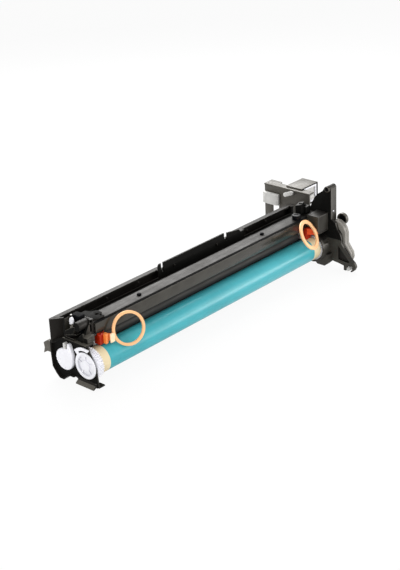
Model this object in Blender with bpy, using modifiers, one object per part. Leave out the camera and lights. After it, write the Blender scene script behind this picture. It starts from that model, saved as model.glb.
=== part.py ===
"""Drum unit of an office copier: photosensitive drum, charge roller, cleaner and waste screw.

The drum turns about the X axis. The front end, with the white bearing and the waste gear, is
at low X, the drive end with the rear bracket at high X. The back of the housing is at high Y.
Sizes below are in the drum's own frame: Y and Z are 0 on the drum's axis, and X is 0 where
the cyan coating starts. The empty "drum_unit" moves everything so that the middle of the
unit's underside is the origin.
"""
import math

import bmesh
import bpy
from mathutils import Matrix, Vector

MM = 0.001

# Clearances
GAP = 0.3 * MM             # between separate pieces
RUNNING = 0.3 * MM         # between a turning piece and what carries it

# Drum
DRUM_RADIUS = 15.0 * MM
DRUM_WALL = 1.0 * MM
COATED_LENGTH = 359.0 * MM
FRONT_BAND = 11.0 * MM     # bare end in front of the coating
REAR_BAND = 12.5 * MM      # bare end behind the coating
PLUG_DEPTH = 14.0 * MM     # how far a flange reaches into the tube
PIN_RADIUS = 4.0 * MM

# Gears: the drum's front gear drives the waste screw
GEAR_MODULE = 0.8 * MM
DRUM_TEETH = 41
SCREW_TEETH = 33
GEAR_WIDTH = 8.0 * MM
BACKLASH = 0.16 * MM
PRESSURE_ANGLE = math.radians(20.0)
REAR_TEETH = 40

# Waste screw
SCREW_CORE = 3.8 * MM
SCREW_OUTER = 8.0 * MM
SCREW_PITCH = 28.0 * MM
CAP_RADIUS = 12.6 * MM
CAP_DEPTH = 4.2 * MM
NECK_RADIUS = 8.0 * MM

# Charge roller
ROLLER_RADIUS = 7.0 * MM
ROLLER_SHAFT = 3.0 * MM
ROLLER_ANGLE = math.radians(58.0)   # above +Y, seen along the drum
ROLLER_MARGIN = 6.0 * MM            # from the ends of the coating to the rubber
ROLLER_TRAVEL = 1.5 * MM
BEARING_WIDTH = 10.0 * MM
BEARING_BELOW = 5.0 * MM
BEARING_ABOVE = 7.0 * MM
BEARING_THICK = 6.0 * MM
SPRING_RADIUS = 2.6 * MM
SPRING_WIRE = 0.35 * MM
SPRING_TURNS = 4

# Cleaner housing, one long moulding
WALL = 2.0 * MM
RAIL_TOP = 42.7 * MM
RAIL_FRONT = 3.3 * MM
RAIL_BACK = 20.0 * MM
CHANNEL_FLOOR = 31.0 * MM
RIM_TOP = 42.1 * MM
RIM_FRONT = 40.5 * MM
HOUSING_BACK = 50.0 * MM
HOUSING_BOTTOM = -22.0 * MM
LIP_START = 19.5 * MM      # from the drum's axis to the lower lip
HOUSING_FRONT = -9.5 * MM
CORNER_DEPTH = 15.5 * MM   # how far the back corner reaches in front of HOUSING_FRONT
TAB_HEIGHT = 7.4 * MM
TAB_THICK = 1.8 * MM

# Front panel over the charge roller
PANEL_THICK = 2.0 * MM
PANEL_BOTTOM = 27.7 * MM

# Front end plate: a sheet with a raised rim
RIM_FRONT_FACE = -25.0 * MM
RIM_DEPTH = 13.0 * MM
SHEET_FRONT = -22.2 * MM
SHEET_THICK = 2.0 * MM
PLATE_TOP = 25.0 * MM

# Block above the front plate
BLOCK_FRONT = -24.0 * MM
BLOCK_REAR = -3.6 * MM
BLOCK_BACK = 29.0 * MM
TUBE_REACH = 4.0 * MM      # the square tube stands this far in front of the block

# Front drum bearing
BEARING_RADIUS = 15.4 * MM
BEARING_BOSS = 11.0 * MM
BEARING_FLANGE = 1.3 * MM
RECESS_RADIUS = 10.2 * MM
RECESS_DEPTH = 3.0 * MM
HUB_RADIUS = 6.0 * MM
ARM_OUTER = 21.2 * MM
ARM_INNER = 17.5 * MM

# Rear end plate
REAR_SPACE = 16.5 * MM     # from the end of the drum to the plate
REAR_PLATE = 4.0 * MM
POST_DEPTH = 11.5 * MM
POST_FRONT = -18.6 * MM
POST_WIDTH = 6.2 * MM
SHROUD_RADIUS = 18.9 * MM
BOSS_RADIUS = 3.7 * MM
BOSS_OUTER = 6.2 * MM

# Rear cover, bracket and connector box
COVER_DEPTH = 9.0 * MM
COVER_SPACE = 1.3 * MM     # between the cover and the bracket
BRACKET_THICK = 2.0 * MM
BRACKET_TOP = 59.0 * MM
BRACKET_FRONT = 26.0 * MM
BRACKET_BACK = 99.0 * MM
BOX_LENGTH = 34.4 * MM
BOX_FRONT = 40.0 * MM
BOX_WIDTH = 25.0 * MM
BOX_HEIGHT = 26.0 * MM
BOX_WALL = 1.6 * MM

# Height of the drum's axis above what the unit stands on
BASE_DROP = 27.0 * MM
HOOK_FRONT = -56.4 * MM    # the leg's hook reaches furthest forward
LATCH_BACK = 101.0 * MM    # the latch reaches furthest back

# Pull rings
RING_RADIUS = 19.3 * MM
RING_HOLE = 14.8 * MM
RING_THICK = 2.0 * MM
STRAP_WIDTH = 8.0 * MM

# Orange retainers
RETAINER_WIDTH = 10.5 * MM
RETAINER_TOP = 31.0 * MM

DRUM_FRONT = -FRONT_BAND
DRUM_REAR = COATED_LENGTH + REAR_BAND
REAR_FACE = DRUM_REAR + REAR_SPACE
COVER_BACK = REAR_FACE + REAR_PLATE + GAP + COVER_DEPTH
CONTACT_FRONT = REAR_FACE - 18.4 * MM
SCREW_Y = GEAR_MODULE * (DRUM_TEETH + SCREW_TEETH) / 2
ROLLER_REACH = DRUM_RADIUS + ROLLER_RADIUS + GAP
ROLLER_Y = ROLLER_REACH * math.cos(ROLLER_ANGLE)
ROLLER_Z = ROLLER_REACH * math.sin(ROLLER_ANGLE)
GEAR_BACK = DRUM_FRONT - GAP
GEAR_FRONT = GEAR_BACK - GEAR_WIDTH
BEARING_FRONT = SHEET_FRONT - GAP - BEARING_FLANGE
CAP_FRONT = SHEET_FRONT - GAP - CAP_DEPTH
PLATE_BACK = GEAR_FRONT - RUNNING
JOURNAL = SCREW_CORE - 0.6 * MM
BRACKET_FACE = REAR_FACE + REAR_PLATE + COVER_DEPTH + COVER_SPACE
BRACKET_REAR = BRACKET_FACE + BRACKET_THICK
BOX_REAR = BRACKET_REAR + GAP + BOX_LENGTH
UNIT_FRONT = BLOCK_FRONT - TUBE_REACH

# How a flat outline or a turned profile stands: its own z axis becomes the axis named
TO_X = Matrix(((0, 0, 1), (1, 0, 0), (0, 1, 0)))
TO_MINUS_Y = Matrix(((1, 0, 0), (0, 0, -1), (0, 1, 0)))
TO_Z = Matrix.Identity(3)


def clear_scene():
    for old in list(bpy.data.objects):
        bpy.data.objects.remove(old, do_unlink=True)


def new_collection(name):
    group = bpy.data.collections.new(name)
    bpy.context.scene.collection.children.link(group)
    return group


clear_scene()
PARTS = new_collection("drum_unit_parts")
CUTTERS = new_collection("drum_unit_cutters")
ORIGIN = bpy.data.objects.new("drum_unit", None)
PARTS.objects.link(ORIGIN)
ORIGIN.location = (-(UNIT_FRONT + BOX_REAR) / 2, -(HOOK_FRONT + LATCH_BACK) / 2, BASE_DROP)


def material(name, colour, roughness, metallic=0.0):
    finish = bpy.data.materials.new(name)
    finish.use_nodes = True
    shader = finish.node_tree.nodes["Principled BSDF"]
    shader.inputs["Base Color"].default_value = (*colour, 1.0)
    shader.inputs["Roughness"].default_value = roughness
    shader.inputs["Metallic"].default_value = metallic
    return finish


BLACK = material("black_plastic", (0.03, 0.03, 0.028), 0.45)
GLOSS_BLACK = material("gloss_black", (0.05, 0.05, 0.045), 0.2)
RUBBER = material("roller_rubber", (0.02, 0.02, 0.02), 0.6)
CYAN = material("drum_coating", (0.11, 0.43, 0.47), 0.2)
WHITE = material("white_plastic", (0.85, 0.85, 0.87), 0.4)
ORANGE = material("orange_plastic", (0.85, 0.25, 0.06), 0.4)
STEEL = material("steel", (0.6, 0.6, 0.6), 0.3, 1.0)
GREY = material("grey_cover", (0.32, 0.31, 0.29), 0.5)
BRACKET_GREY = material("bracket_grey", (0.12, 0.115, 0.105), 0.5)
BLADE = material("blade_urethane", (0.55, 0.4, 0.2), 0.5)


def place(piece, at, turn, finish, group=None):
    (group or PARTS).objects.link(piece)
    piece.parent = ORIGIN
    piece.location = at
    piece.rotation_euler = turn.to_euler()
    if finish:
        piece.data.materials.append(finish)
    return piece


def prism(name, loops, depth, at=(0, 0, 0), turn=TO_X, finish=BLACK):
    """Solid between `at` and `at` + depth along the turned z axis; later loops are holes."""
    outline = bpy.data.curves.new(name + "_outline", "CURVE")
    outline.dimensions = "2D"
    outline.fill_mode = "BOTH"
    outline.extrude = depth / 2
    for loop in loops:
        spline = outline.splines.new("POLY")
        spline.points.add(len(loop) - 1)
        for point, (u, v) in zip(spline.points, loop):
            point.co = (u, v, 0, 1)
        spline.use_cyclic_u = True
    guide = bpy.data.objects.new(name + "_guide", outline)
    bpy.context.scene.collection.objects.link(guide)
    evaluated = guide.evaluated_get(bpy.context.evaluated_depsgraph_get())
    mesh = bpy.data.meshes.new_from_object(evaluated)
    bpy.data.objects.remove(guide, do_unlink=True)
    bpy.data.curves.remove(outline)
    mesh.name = name
    shape = bmesh.new()
    shape.from_mesh(mesh)
    bmesh.ops.remove_doubles(shape, verts=shape.verts, dist=1e-6)
    bmesh.ops.dissolve_limit(shape, angle_limit=0.001, verts=[], edges=shape.edges)
    bmesh.ops.translate(shape, verts=shape.verts, vec=(0, 0, depth / 2))
    bmesh.ops.recalc_face_normals(shape, faces=shape.faces)
    shape.to_mesh(mesh)
    shape.free()
    return place(bpy.data.objects.new(name, mesh), at, turn, finish)


def box(name, low, high, finish=BLACK):
    """Block between two corners."""
    low, high = Vector(low), Vector(high)
    mesh = bpy.data.meshes.new(name)
    shape = bmesh.new()
    bmesh.ops.create_cube(shape, size=1.0)
    bmesh.ops.scale(shape, verts=shape.verts, vec=high - low)
    shape.to_mesh(mesh)
    shape.free()
    return place(bpy.data.objects.new(name, mesh), (low + high) / 2, TO_Z, finish)


def turned(name, profile, at, turn=TO_X, finish=STEEL, steps=40):
    """Profile of (radius, height) points, outer side first and downwards, turned about z."""
    mesh = bpy.data.meshes.new(name)
    points = [(radius, 0, height) for radius, height in profile]
    closed = profile[0][0] > 0
    count = len(points)
    edges = [(i, (i + 1) % count) for i in range(count if closed else count - 1)]
    mesh.from_pydata(points, edges, [])
    piece = place(bpy.data.objects.new(name, mesh), at, turn, finish)
    screw = piece.modifiers.new("turn", "SCREW")
    screw.axis = "Z"
    screw.steps = steps
    screw.render_steps = steps
    screw.use_merge_vertices = True
    screw.merge_threshold = 1e-6
    screw.use_smooth_shade = True
    weld = piece.modifiers.new("weld", "WELD")
    weld.merge_threshold = 1e-6
    return piece


def rod(name, radius, length, at, turn=TO_X, finish=STEEL, steps=24, chamfer=0.0):
    """Solid cylinder from `at` along the turned z axis, with chamfered ends."""
    profile = [(0, length), (radius - chamfer, length), (radius, length - chamfer),
               (radius, chamfer), (radius - chamfer, 0), (0, 0)]
    if not chamfer:
        profile = [(0, length), (radius, length), (radius, 0), (0, 0)]
    return turned(name, profile, at, turn, finish, steps)


def tube(name, outer, inner, length, at, turn=TO_X, finish=STEEL, steps=40):
    profile = [(outer, length), (outer, 0), (inner, 0), (inner, length)]
    return turned(name, profile, at, turn, finish, steps)


def as_tool(tool):
    """Keep a shape only as the operand of a Boolean."""
    PARTS.objects.unlink(tool)
    CUTTERS.objects.link(tool)
    tool.hide_render = True
    tool.display_type = "WIRE"
    return tool


def boolean(piece, tool, operation):
    step = piece.modifiers.new(tool.name, "BOOLEAN")
    step.operation = operation
    step.solver = "EXACT"
    step.object = as_tool(tool)


def cut(piece, *tools):
    for tool in tools:
        boolean(piece, tool, "DIFFERENCE")
    return piece


def join(piece, *tools):
    for tool in tools:
        boolean(piece, tool, "UNION")
    return piece


def round_edges(piece, width, segments=2, angle=50.0):
    bevel = piece.modifiers.new("rounded", "BEVEL")
    bevel.width = width
    bevel.segments = segments
    bevel.limit_method = "ANGLE"
    bevel.angle_limit = math.radians(angle)
    bevel.use_clamp_overlap = True
    return piece


def arc(radius, start, end, steps, centre=(0.0, 0.0)):
    """Points on an arc; angles in degrees, counted from the first axis."""
    points = []
    for i in range(steps + 1):
        angle = math.radians(start + (end - start) * i / steps)
        points.append((centre[0] + radius * math.cos(angle), centre[1] + radius * math.sin(angle)))
    return points


def circle(radius, steps=40, centre=(0.0, 0.0)):
    return arc(radius, 0, 360, steps, centre)[:-1]


def lengthwise(x):
    """Place along the unit, from millimetres at the standard length of 359 mm."""
    return x / 359.0 * COATED_LENGTH


def scaled(points):
    """Outline given in millimetres."""
    return [(u * MM, v * MM) for u, v in points]


def offset_path(path, distance):
    """The open path moved to its right-hand side, with mitred corners."""
    moved = []
    normals = []
    for (u0, v0), (u1, v1) in zip(path, path[1:]):
        length = math.hypot(u1 - u0, v1 - v0)
        normals.append(((v1 - v0) / length, -(u1 - u0) / length))
    for i, (u, v) in enumerate(path):
        before = normals[max(i - 1, 0)]
        after = normals[min(i, len(normals) - 1)]
        mitre = distance / (1 + before[0] * after[0] + before[1] * after[1])
        moved.append((u + (before[0] + after[0]) * mitre, v + (before[1] + after[1]) * mitre))
    return moved


def band(path, thickness):
    """Closed outline of a wall that follows the path, thickened to its right."""
    return path + offset_path(path, thickness)[::-1]


def gear_outline(teeth, backlash):
    """Involute outline with one tooth centred on the first axis."""
    pitch = teeth * GEAR_MODULE / 2
    base = pitch * math.cos(PRESSURE_ANGLE)
    tip = pitch + GEAR_MODULE * 0.95
    root = pitch - GEAR_MODULE * 1.25

    def involute(angle):
        return math.tan(angle) - angle

    half = math.pi / (2 * teeth) - backlash / (2 * pitch) + involute(PRESSURE_ANGLE)
    side = [(root, half * 1.02), (tip, half - involute(math.acos(base / tip)))]
    points = []
    for tooth in range(teeth):
        middle = 2 * math.pi * tooth / teeth
        for radius, angle in side:
            points.append((radius * math.cos(middle - angle), radius * math.sin(middle - angle)))
        for radius, angle in reversed(side):
            points.append((radius * math.cos(middle + angle), radius * math.sin(middle + angle)))
    return points


def gear_tip(teeth):
    return teeth * GEAR_MODULE / 2 + GEAR_MODULE * 0.95


def coil_spring(name, low, high, centre):
    """Round wire coil that stands along Z, with flat-lying end turns."""
    wire = bpy.data.curves.new(name + "_wire", "CURVE")
    wire.dimensions = "3D"
    wire.bevel_depth = SPRING_WIRE
    wire.bevel_resolution = 1
    wire.use_fill_caps = True
    spline = wire.splines.new("POLY")
    per_turn = 9
    count = SPRING_TURNS * per_turn
    spline.points.add(count)
    bottom = low + SPRING_WIRE
    rise = high - low - 2 * SPRING_WIRE
    for i, point in enumerate(spline.points):
        share = i / count
        angle = 2 * math.pi * SPRING_TURNS * share
        point.co = (SPRING_RADIUS * math.cos(angle), SPRING_RADIUS * math.sin(angle),
                    bottom + rise * share, 1)
    guide = bpy.data.objects.new(name + "_guide", wire)
    bpy.context.scene.collection.objects.link(guide)
    mesh = bpy.data.meshes.new_from_object(
        guide.evaluated_get(bpy.context.evaluated_depsgraph_get()))
    bpy.data.objects.remove(guide, do_unlink=True)
    shape = bmesh.new()
    shape.from_mesh(mesh)
    bmesh.ops.remove_doubles(shape, verts=shape.verts, dist=1e-6)
    bmesh.ops.recalc_face_normals(shape, faces=shape.faces)
    shape.to_mesh(mesh)
    shape.free()
    mesh.name = name
    return place(bpy.data.objects.new(name, mesh), (*centre, 0), TO_Z, STEEL)


def make_drum():
    length = DRUM_REAR - DRUM_FRONT
    tube("drum_tube", DRUM_RADIUS, DRUM_RADIUS - DRUM_WALL, length, (DRUM_FRONT, 0, 0),
         finish=CYAN, steps=72)
    plug = DRUM_RADIUS - DRUM_WALL - GAP
    bore = PIN_RADIUS + RUNNING

    flange = prism("drum_flange_front", [gear_outline(DRUM_TEETH, BACKLASH)], GEAR_WIDTH,
                   (GEAR_FRONT, 0, 0), finish=WHITE)
    join(flange, rod("front_plug", plug, PLUG_DEPTH + GAP + GEAR_WIDTH / 2,
                     (GEAR_BACK - GEAR_WIDTH / 2, 0, 0), steps=36))
    cut(flange, rod("front_bore", bore, 4 * PLUG_DEPTH, (GEAR_FRONT - PLUG_DEPTH, 0, 0)))

    rear_width = REAR_FACE - DRUM_REAR - 4 * MM
    drive = prism("drum_drive_gear", [gear_outline(REAR_TEETH, BACKLASH)], rear_width,
                  (DRUM_REAR + GAP, 0, 0), finish=WHITE)
    join(drive, rod("rear_plug", plug, PLUG_DEPTH + rear_width / 2,
                    (DRUM_REAR - PLUG_DEPTH, 0, 0), steps=36))
    cut(drive, rod("rear_bore", bore, 4 * PLUG_DEPTH, (DRUM_REAR - 2 * PLUG_DEPTH, 0, 0)))

    pin_front = BEARING_FRONT + 1.7 * MM
    rod("drum_pin_front", PIN_RADIUS, DRUM_FRONT + PLUG_DEPTH - pin_front, (pin_front, 0, 0),
        chamfer=0.5 * MM)
    rod("drum_pin_rear", PIN_RADIUS, REAR_FACE + POST_DEPTH - DRUM_REAR + PLUG_DEPTH,
        (DRUM_REAR - PLUG_DEPTH, 0, 0), chamfer=0.5 * MM)


def make_waste_screw():
    """Auger along the cleaner, turned by a gear that meshes with the drum's front gear."""
    start = HOUSING_FRONT + WALL + 3 * MM
    end = REAR_FACE - 4 * MM
    turns = (end - start) / SCREW_PITCH
    steps_per_turn = 6
    count = int(turns * steps_per_turn)
    journal_front = CAP_FRONT + 3.8 * MM
    section = [(SCREW_CORE, angle) for angle in (60, 120, 180, 240, 300)]
    section += [(SCREW_OUTER, angle) for angle in (-18, 0, 18)]
    shape = bmesh.new()
    rings = []
    for i in range(count + 1):
        share = i / count
        twist = 360 * turns * share
        ring = []
        for radius, angle in section:
            turn = math.radians(angle + twist)
            ring.append(shape.verts.new((radius * math.cos(turn), radius * math.sin(turn),
                                         start + (end - start) * share)))
        rings.append(ring)
    for low, high in zip(rings, rings[1:]):
        for i in range(len(section)):
            j = (i + 1) % len(section)
            shape.faces.new((low[i], low[j], high[j], high[i]))
    shape.faces.new(rings[0][::-1])
    shape.faces.new(rings[-1])
    bmesh.ops.recalc_face_normals(shape, faces=shape.faces)
    mesh = bpy.data.meshes.new("waste_screw")
    shape.to_mesh(mesh)
    shape.free()
    screw = place(bpy.data.objects.new("waste_screw", mesh), (0, SCREW_Y, 0), TO_X, WHITE)
    join(screw, rod("front_journal", JOURNAL, start + MM - journal_front,
                    (journal_front, SCREW_Y, 0), steps=20),
         rod("rear_journal", JOURNAL, REAR_FACE + REAR_PLATE + MM - end,
             (end - MM, SCREW_Y, 0), steps=24))

    prism("waste_gear", [gear_outline(SCREW_TEETH, BACKLASH), circle(JOURNAL + GAP, 24)],
          GEAR_WIDTH, (GEAR_FRONT, SCREW_Y, 0), finish=WHITE)


def make_screw_cap():
    """Fixed round cap that carries the waste screw, with an arm and a lock lever above."""
    depth = PLATE_BACK - CAP_FRONT
    cap = turned("screw_cap", [
        (0, depth), (NECK_RADIUS, depth), (NECK_RADIUS, CAP_DEPTH), (CAP_RADIUS, CAP_DEPTH),
        (CAP_RADIUS, 0.8 * MM), (CAP_RADIUS - 0.8 * MM, 0), (0, 0)],
        (CAP_FRONT, SCREW_Y, 0), finish=WHITE)
    arm = scaled([(17.8, -2), (15.9, 8), (18, 15.5), (20.4, 20.5), (22.6, 20.5), (23.4, 14.6),
                  (25, 13.4), (28.9, 13.4), (29.4, 10), (24, 4)])
    join(cap, prism("cap_arm", [arm], CAP_DEPTH - 0.4 * MM, (CAP_FRONT + 0.3 * MM, 0, 0)))
    for k, degrees in enumerate((-8, -26, -44)):
        angle = math.radians(degrees)
        cut(cap, rod(f"cap_notch_{k}", 1.3 * MM, 2 * CAP_DEPTH,
                     (CAP_FRONT - CAP_DEPTH / 2, SCREW_Y + CAP_RADIUS * math.cos(angle),
                      CAP_RADIUS * math.sin(angle)), steps=12))
    cut(cap, rod("cap_bore", JOURNAL + RUNNING, 2 * depth, (CAP_FRONT + 3.5 * MM, SCREW_Y, 0),
                 steps=24))
    lever = scaled([(25.7, 13.7), (28.9, 13.7), (28.9, 19.8), (28, 20.6), (26.2, 20.6), (25.7, 20)])
    prism("screw_lock_lever", [lever], CAP_DEPTH, (CAP_FRONT - 0.3 * MM, 0, 0), finish=WHITE)


def make_charge_roller():
    rubber_front = ROLLER_MARGIN
    rubber_rear = COATED_LENGTH - ROLLER_MARGIN
    shaft_front = DRUM_FRONT + 7 * MM
    shaft_rear = DRUM_REAR - 4.5 * MM
    tube("charge_roller", ROLLER_RADIUS, ROLLER_SHAFT + GAP, rubber_rear - rubber_front,
         (rubber_front, ROLLER_Y, ROLLER_Z), finish=RUBBER, steps=40)
    rod("charge_shaft", ROLLER_SHAFT, shaft_rear - shaft_front, (shaft_front, ROLLER_Y, ROLLER_Z),
        chamfer=0.4 * MM, steps=24)
    spring_low = ROLLER_Z + BEARING_ABOVE + GAP
    spring_high = RAIL_TOP - WALL - GAP
    half = BEARING_WIDTH / 2
    for end, start in (("front", shaft_front + MM), ("rear", shaft_rear - MM - BEARING_THICK)):
        outline = [(-half, -BEARING_BELOW), (half, -BEARING_BELOW), (half, BEARING_ABOVE),
                   (-half, BEARING_ABOVE)]
        prism(f"charge_bearing_{end}", [outline, circle(ROLLER_SHAFT + RUNNING, 24)],
              BEARING_THICK, (start, ROLLER_Y, ROLLER_Z), finish=WHITE)
        coil_spring(f"charge_spring_{end}", spring_low, spring_high,
                    (start + BEARING_THICK / 2, ROLLER_Y))


def housing_path():
    """Inner side of the housing's wall, from the lip under the drum round to the rail."""
    lip = LIP_START * math.sqrt(0.5)
    inner_bottom = HOUSING_BOTTOM + WALL
    inner_back = HOUSING_BACK - WALL
    return [
        (lip, -lip),
        (-inner_bottom, inner_bottom),
        (inner_back - 4 * MM, inner_bottom),
        (inner_back, inner_bottom + 6 * MM),
        (inner_back, RIM_TOP - WALL),
        (RIM_FRONT + WALL, RIM_TOP - WALL),
        (RIM_FRONT + WALL, CHANNEL_FLOOR - WALL),
        (RAIL_BACK - WALL, CHANNEL_FLOOR - WALL),
        (RAIL_BACK - WALL, RAIL_TOP - WALL),
        (RAIL_FRONT, RAIL_TOP - WALL),
    ]


def tab_outline():
    """The three raised tabs on the rim, with a ramp in front and two slots, along X and Z."""
    foot = RIM_TOP - MM
    floor = RIM_TOP + 0.2 * MM
    top = RIM_TOP + TAB_HEIGHT
    ramp, slot_1, slot_2, tail = (lengthwise(x) for x in (131.6, 141.3, 252.5, 284.0))
    slot_width, slot_2_width = 3.1 * MM, 4.3 * MM
    return [
        (ramp, foot), (ramp + 7 * MM, top - 0.2 * MM), (slot_1, top), (slot_1, floor),
        (slot_1 + slot_width, floor), (slot_1 + slot_width, top), (slot_2, top), (slot_2, floor),
        (slot_2 + slot_2_width, floor), (slot_2 + slot_2_width, top - MM),
        (tail - 4 * MM, RIM_TOP + 3.2 * MM), (tail, foot),
    ]


BLADE_SCREWS = (("front", lengthwise(60.0)), ("rear", lengthwise(300.0)))
BLADE_SCREW_Y = 31.0 * MM
RAIL_SCREWS = (("front", lengthwise(75.0)), ("rear", lengthwise(289.0)))
RAIL_SCREW_Y = 12.0 * MM


def make_housing():
    corner_front = HOUSING_FRONT - CORNER_DEPTH
    length = REAR_FACE - GAP - corner_front
    housing = prism("cleaner_housing", [band(housing_path(), WALL)], length, (corner_front, 0, 0))
    far = 200 * MM
    plan = [(corner_front - MM, -far), (HOUSING_FRONT, -far), (HOUSING_FRONT, RIM_FRONT - 2.5 * MM),
            (HOUSING_FRONT - 2.5 * MM, RIM_FRONT - 0.5 * MM),
            (corner_front + 0.5 * MM, HOUSING_BACK + 0.5 * MM),
            (corner_front + 0.5 * MM, far), (corner_front - MM, far)]
    cut(housing, prism("corner_cut", [plan], 2 * far, (0, 0, -far), TO_Z))
    join(housing, prism("rim_tabs", [tab_outline()], TAB_THICK,
                        (0, RIM_FRONT + 0.2 * MM + TAB_THICK, 0), TO_MINUS_Y))
    lip = LIP_START * math.sqrt(0.5) + 0.4 * MM
    wall = [(lip, -lip), (-HOUSING_BOTTOM - MM, HOUSING_BOTTOM + MM),
            (HOUSING_BACK - 5 * MM, HOUSING_BOTTOM + MM), (HOUSING_BACK - MM, HOUSING_BOTTOM + 7 * MM),
            (HOUSING_BACK - MM, RIM_TOP - MM), (RIM_FRONT + MM, RIM_TOP - MM),
            (RIM_FRONT + MM, CHANNEL_FLOOR - MM), (RAIL_BACK - MM, CHANNEL_FLOOR - MM),
            (RAIL_BACK - 2 * MM, 4 * MM)]
    join(housing, prism("front_wall", [wall], WALL, (HOUSING_FRONT, 0, 0)))
    cut(housing, box("block_room", (corner_front - MM, -far, PLATE_TOP - MM),
                     (BLOCK_REAR + GAP, BLOCK_BACK + GAP, far)),
        box("corner_room", (corner_front - MM, -far, -far), (HOUSING_FRONT, far, PLATE_TOP + GAP)))
    cut(housing, rod("screw_passage", JOURNAL + RUNNING, 4 * WALL,
                     (HOUSING_FRONT - WALL, SCREW_Y, 0), steps=24))
    for end, x in BLADE_SCREWS:
        cut(housing, rod("blade_hole_" + end, 1.8 * MM, 3 * WALL,
                         (x, BLADE_SCREW_Y, CHANNEL_FLOOR - 2 * WALL), TO_Z, steps=20))
    for end, x in RAIL_SCREWS:
        cut(housing, rod("rail_hole_" + end, 1.6 * MM, 3 * WALL,
                         (x, RAIL_SCREW_Y, RAIL_TOP - 2 * WALL), TO_Z, steps=20))


def make_panel():
    front = -3 * MM
    panel = [(RAIL_FRONT - GAP - PANEL_THICK, PANEL_BOTTOM), (RAIL_FRONT - GAP, PANEL_BOTTOM + 0.6 * MM),
             (RAIL_FRONT - GAP, RAIL_TOP - 0.4 * MM), (RAIL_FRONT - GAP - PANEL_THICK + MM, RAIL_TOP - 0.4 * MM),
             (RAIL_FRONT - GAP - PANEL_THICK, RAIL_TOP - 1.4 * MM)]
    prism("charger_panel", [panel], DRUM_REAR - 3 * MM - front, (front, 0, 0), finish=GLOSS_BLACK)


def screw_piece(name, x, y, seat, head=2.8 * MM, shank=1.3 * MM, grip=5 * MM):
    """Pan-head screw with its head on `seat`."""
    head_low = seat + GAP
    turned(name, [(0, 1.8 * MM), (head * 0.7, 1.8 * MM), (head, 1.0 * MM), (head, 0),
                  (shank, 0), (shank, -grip), (0, -grip)], (x, y, head_low), TO_Z, STEEL, 16)


def make_cleaning_blade():
    """Steel holder screwed under the channel, and the rubber blade that wipes the drum."""
    front = 5 * MM
    length = COATED_LENGTH - 9 * MM
    sheet = 1.4 * MM
    top = CHANNEL_FLOOR - WALL - GAP
    holder = [(22.6 * MM, 8 * MM), (22.6 * MM + sheet, 8 * MM), (22.6 * MM + sheet, top - sheet),
              (36 * MM, top - sheet), (36 * MM, top), (22.6 * MM, top)]
    piece = prism("blade_holder", [holder], length, (front, 0, 0), finish=STEEL)
    for end, x in BLADE_SCREWS:
        cut(piece, rod("holder_hole_" + end, 1.6 * MM, 4 * WALL,
                       (x, BLADE_SCREW_Y, top - 2 * WALL), TO_Z, steps=20))
    reach = DRUM_RADIUS + GAP
    contact = math.radians(11)
    tip = (reach * math.cos(contact), reach * math.sin(contact))
    blade = [tip, (tip[0] + 1.5 * MM, tip[1] - 0.9 * MM), (22.3 * MM, 8 * MM), (22.3 * MM, 15.5 * MM),
             (20.3 * MM, 15.5 * MM), (20.3 * MM, 9.6 * MM)]
    prism("cleaning_blade", [blade], length, (front, 0, 0), finish=BLADE)
    for end, x in BLADE_SCREWS:
        screw_piece("blade_screw_" + end, x, BLADE_SCREW_Y, CHANNEL_FLOOR)
    for end, x in RAIL_SCREWS:
        screw_piece("rail_screw_" + end, x, RAIL_SCREW_Y, RAIL_TOP, head=2.6 * MM, grip=3 * MM)
    low = math.sqrt(0.5)
    sheet_in, sheet_out = DRUM_RADIUS + 0.4 * MM, LIP_START + 4 * MM
    shift = GAP * low
    thick = 0.9 * MM * low
    seal = [(sheet_in * low + shift, -sheet_in * low + shift),
            (sheet_out * low + shift, -sheet_out * low + shift),
            (sheet_out * low + shift + thick, -sheet_out * low + shift + thick),
            (sheet_in * low + shift + thick, -sheet_in * low + shift + thick)]
    prism("seal_sheet", [seal], length, (front, 0, 0), finish=WHITE)


def front_plate_outline():
    """End plate seen from the front, from its top front corner round by the back."""
    return scaled([(-4.4, 25), (31, 25), (46, 17.5), (51.5, 16), (52.2, 0), (51.3, -15.4),
                   (46, -22.5), (41, -27), (34.5, -27), (29, -22), (25, -19.5), (18, -19.2),
                   (14.5, -20.5), (13.3, -23), (-14.6, -23), (-16.5, -21), (-16.5, -18),
                   (-16.1, -13.2), (-14.5, -2.8), (-10.7, 6.8), (-6.9, 15.3)])


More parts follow.
